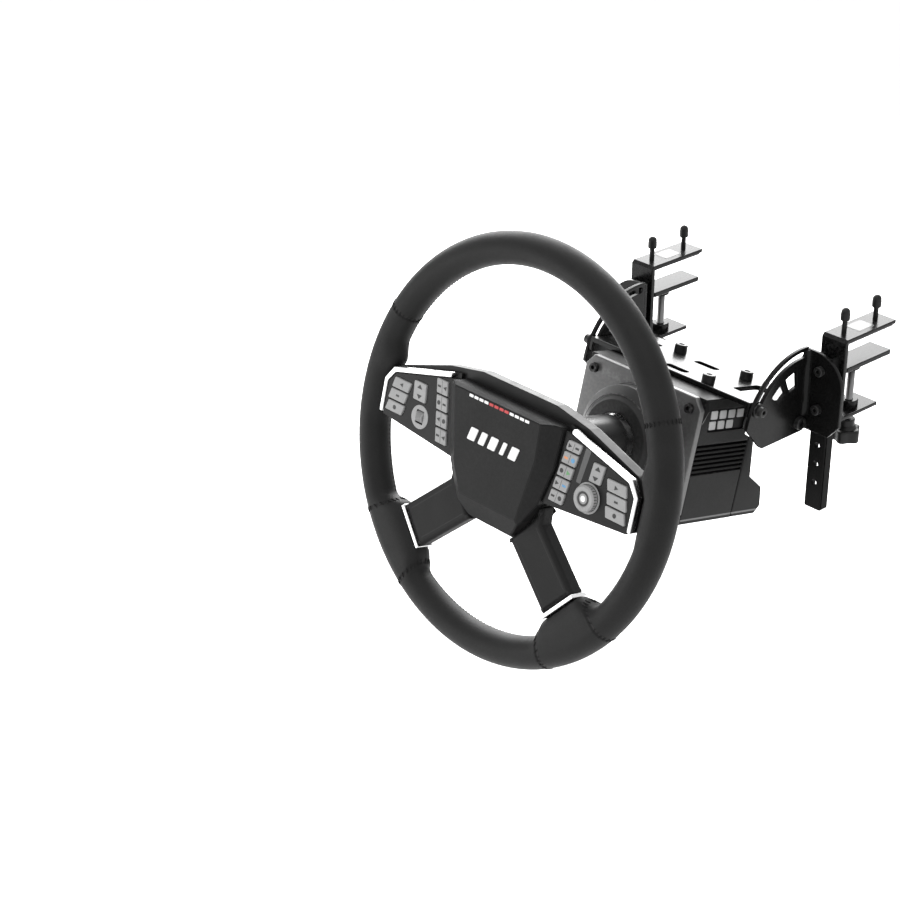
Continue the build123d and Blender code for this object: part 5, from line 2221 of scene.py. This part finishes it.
    def build(self, bench: Bench) -> None:
        """Makes both clamps.

        Args:
            bench: What makes and places the pieces.
        """
        for side, name in ((-1, "left"), (1, "right")):
            place = shift(side * self.x, 0, 0)
            bench.piece(
                f"{name}_clamp_body", Solid().take(self.frame(), place), Finishes.COAT,
                (f"{name}_clamp_frame",), sharp=30,
            )
            bench.piece(
                f"{name}_press", Solid().take(self.plate(), place), Finishes.COAT,
                (f"{name}_pressure_plate",), body=f"{name}_press",
            )
            bench.piece(
                f"{name}_thread", Solid().take(self.screw(), place), Finishes.ZINC,
                (f"{name}_clamp_screw",), body=f"{name}_screw",
            )
            bench.piece(
                f"{name}_hand_knob", Solid().take(self.hand_knob(), place), Finishes.KNOB,
                (f"{name}_clamp_knob",), body=f"{name}_screw",
            )
        bench.piece("channel_legs", self.both(self.leg), Finishes.FIN, ("legs",))
        bench.piece("jaw_rubber", self.both(self.pads), Finishes.RUBBER, ("jaw_pads",))
        posts = Solid()
        for y in self.bolts:
            posts.take(self.both(self.jaw_bolt), shift(0, y, 0))
        bench.piece("jaw_bolt_posts", posts, Finishes.KNOB, ("jaw_bolts",))
        bench.piece("jaw_inlays", self.both(self.patch), Finishes.ANODISED_GREY)
        bench.piece(
            "jaw_inlay_lines", self.both(self.patch_frame), Finishes.ANODISED_GREY
        )


# ---- studio -----------------------------------------------------------------------------------------
@dataclass
class Studio:
    """Camera, pale floor and soft lights."""

    location: tuple[float, float, float] = (1.23925, -1.49776, 0.81732)
    azimuth: float = 47.957
    elevation: float = 26.989
    lens: float = 84.84

    def back(self) -> Vector:
        """Direction from the object towards the camera."""
        turn, rise = math.radians(self.azimuth), math.radians(self.elevation)
        return Vector((math.sin(turn) * math.cos(rise), -math.cos(turn) * math.cos(rise), math.sin(rise)))

    def camera(self) -> None:
        """Adds the camera."""
        data = bpy.data.cameras.new("studio_camera")
        data.lens, data.sensor_width = self.lens, 36.0
        data.clip_end = 50.0
        made = bpy.data.objects.new("studio_camera", data)
        turn = self.back().to_track_quat("Z", "Y").to_matrix().to_4x4()
        made.matrix_world = Matrix.Translation(self.location) @ turn
        bpy.context.scene.collection.objects.link(made)
        bpy.context.scene.camera = made

    def lamp(self, name: str, towards: Vector, distance: float, size: Point, power: float) -> None:
        """Adds a soft rectangular light.

        Args:
            name: The light's name.
            towards: Direction from the object to the light.
            distance: Distance from the object's middle, in metres.
            size: Width and height, in metres.
            power: Power in watts.
        """
        low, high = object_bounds()
        middle = (Vector(low) + Vector(high)) / 2
        data = bpy.data.lights.new(name, "AREA")
        data.shape, data.size, data.size_y, data.energy = "RECTANGLE", *size, power
        made = bpy.data.objects.new(name, data)
        place = middle + towards.normalized() * distance
        turn = towards.to_track_quat("Z", "Y").to_matrix().to_4x4()
        made.matrix_world = Matrix.Translation(place) @ turn
        bpy.context.scene.collection.objects.link(made)

    def world(self, level: float) -> None:
        """Sets an even pale surround.

        Args:
            level: Radiance of the surround.
        """
        world = bpy.data.worlds.new("studio_world")
        world.use_nodes = True
        surround = world.node_tree.nodes["Background"]
        surround.inputs["Color"].default_value = (level, level, level, 1)
        surround.inputs["Strength"].default_value = 1.0
        bpy.context.scene.world = world

    def floor(self, low: Vector) -> None:
        """Adds the pale floor well below the object.

        Args:
            low: The object's lowest corner.
        """
        mesh = bpy.data.meshes.new("studio_floor")
        half, level = 30.0, low.z - 0.28
        corners = [(-half, -half, level), (half, -half, level), (half, half, level), (-half, half, level)]
        mesh.from_pydata(corners, [], [(0, 1, 2, 3)])
        material = bpy.data.materials.new("studio_floor_paint")
        material.use_nodes = True
        shader = material.node_tree.nodes["Principled BSDF"]
        shader.inputs["Base Color"].default_value = (0.97, 0.97, 0.97, 1)
        shader.inputs["Roughness"].default_value = 0.9
        mesh.materials.append(material)
        made = bpy.data.objects.new("studio_floor", mesh)
        bpy.context.scene.collection.objects.link(made)
        made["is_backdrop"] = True

    def build(self) -> None:
        """Makes the whole studio."""
        low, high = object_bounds()
        self.world(1.04)
        self.floor(Vector(low))
        behind = Vector((-self.back().x, -self.back().y, self.back().z * 0.8))
        self.lamp("back_panel", behind, 1.9, (2.4, 1.8), 95.0)
        self.lamp("front_panel", Vector((-0.66, -0.74, -0.12)), 1.8, (1.1, 0.9), 8.0)
        self.lamp("top_panel", Vector((0.15, -0.35, 1.0)), 1.8, (1.4, 1.0), 6.0)


# ---- whole object ------------------------------------------------------------------------------------
def hidden_parts(frame: dict) -> None:
    """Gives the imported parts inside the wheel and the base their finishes.
    """
    dress(frame, Finishes.MACHINED, "rim_core", "wheel_frame")
    dress(frame, Finishes.ANODISED_BLACK, "motor_shaft")
    dress(frame, Finishes.SCREW, "wheel_screws", "base_screws")
    dress(frame, Finishes.BOARD, "button_boards", "driver_board")
    dress(frame, Finishes.POLISHED, "shaft_bearings", "rotor")
    dress(frame, Finishes.COPPER, "stator")


def main() -> None:
    """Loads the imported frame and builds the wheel's looks around it."""
    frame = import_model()
    bpy.context.scene.view_settings.view_transform = "Standard"
    studio = Studio()
    studio.camera()
    column = column_place(frame)
    wheel = Bench(column, "steering_wheel")
    for maker in (SteeringRim(), HubPad(), Wings(), LowerSpokes(), QuickRelease()):
        maker.build(wheel)
        LOG.info("%s made, %d pieces so far", type(maker).__name__, wheel.count)
    base = Bench(column, "wheelbase")
    cradle = TiltCradle()
    cradle.measure(column)
    for maker in (DriveBase(), cradle):
        maker.build(base)
        LOG.info("%s made, %d pieces so far", type(maker).__name__, base.count)
    desk = Bench(Matrix.Identity(4), "desk_mount")
    brackets = ArcBrackets()
    brackets.measure()
    for maker in (brackets, DeskClamps()):
        maker.build(desk)
        LOG.info("%s made, %d pieces so far", type(maker).__name__, desk.count)
    hidden_parts(frame)
    studio.build()


if __name__ == "__main__":
    logging.basicConfig(level=logging.INFO, format="%(name)s: %(message)s")
    main()
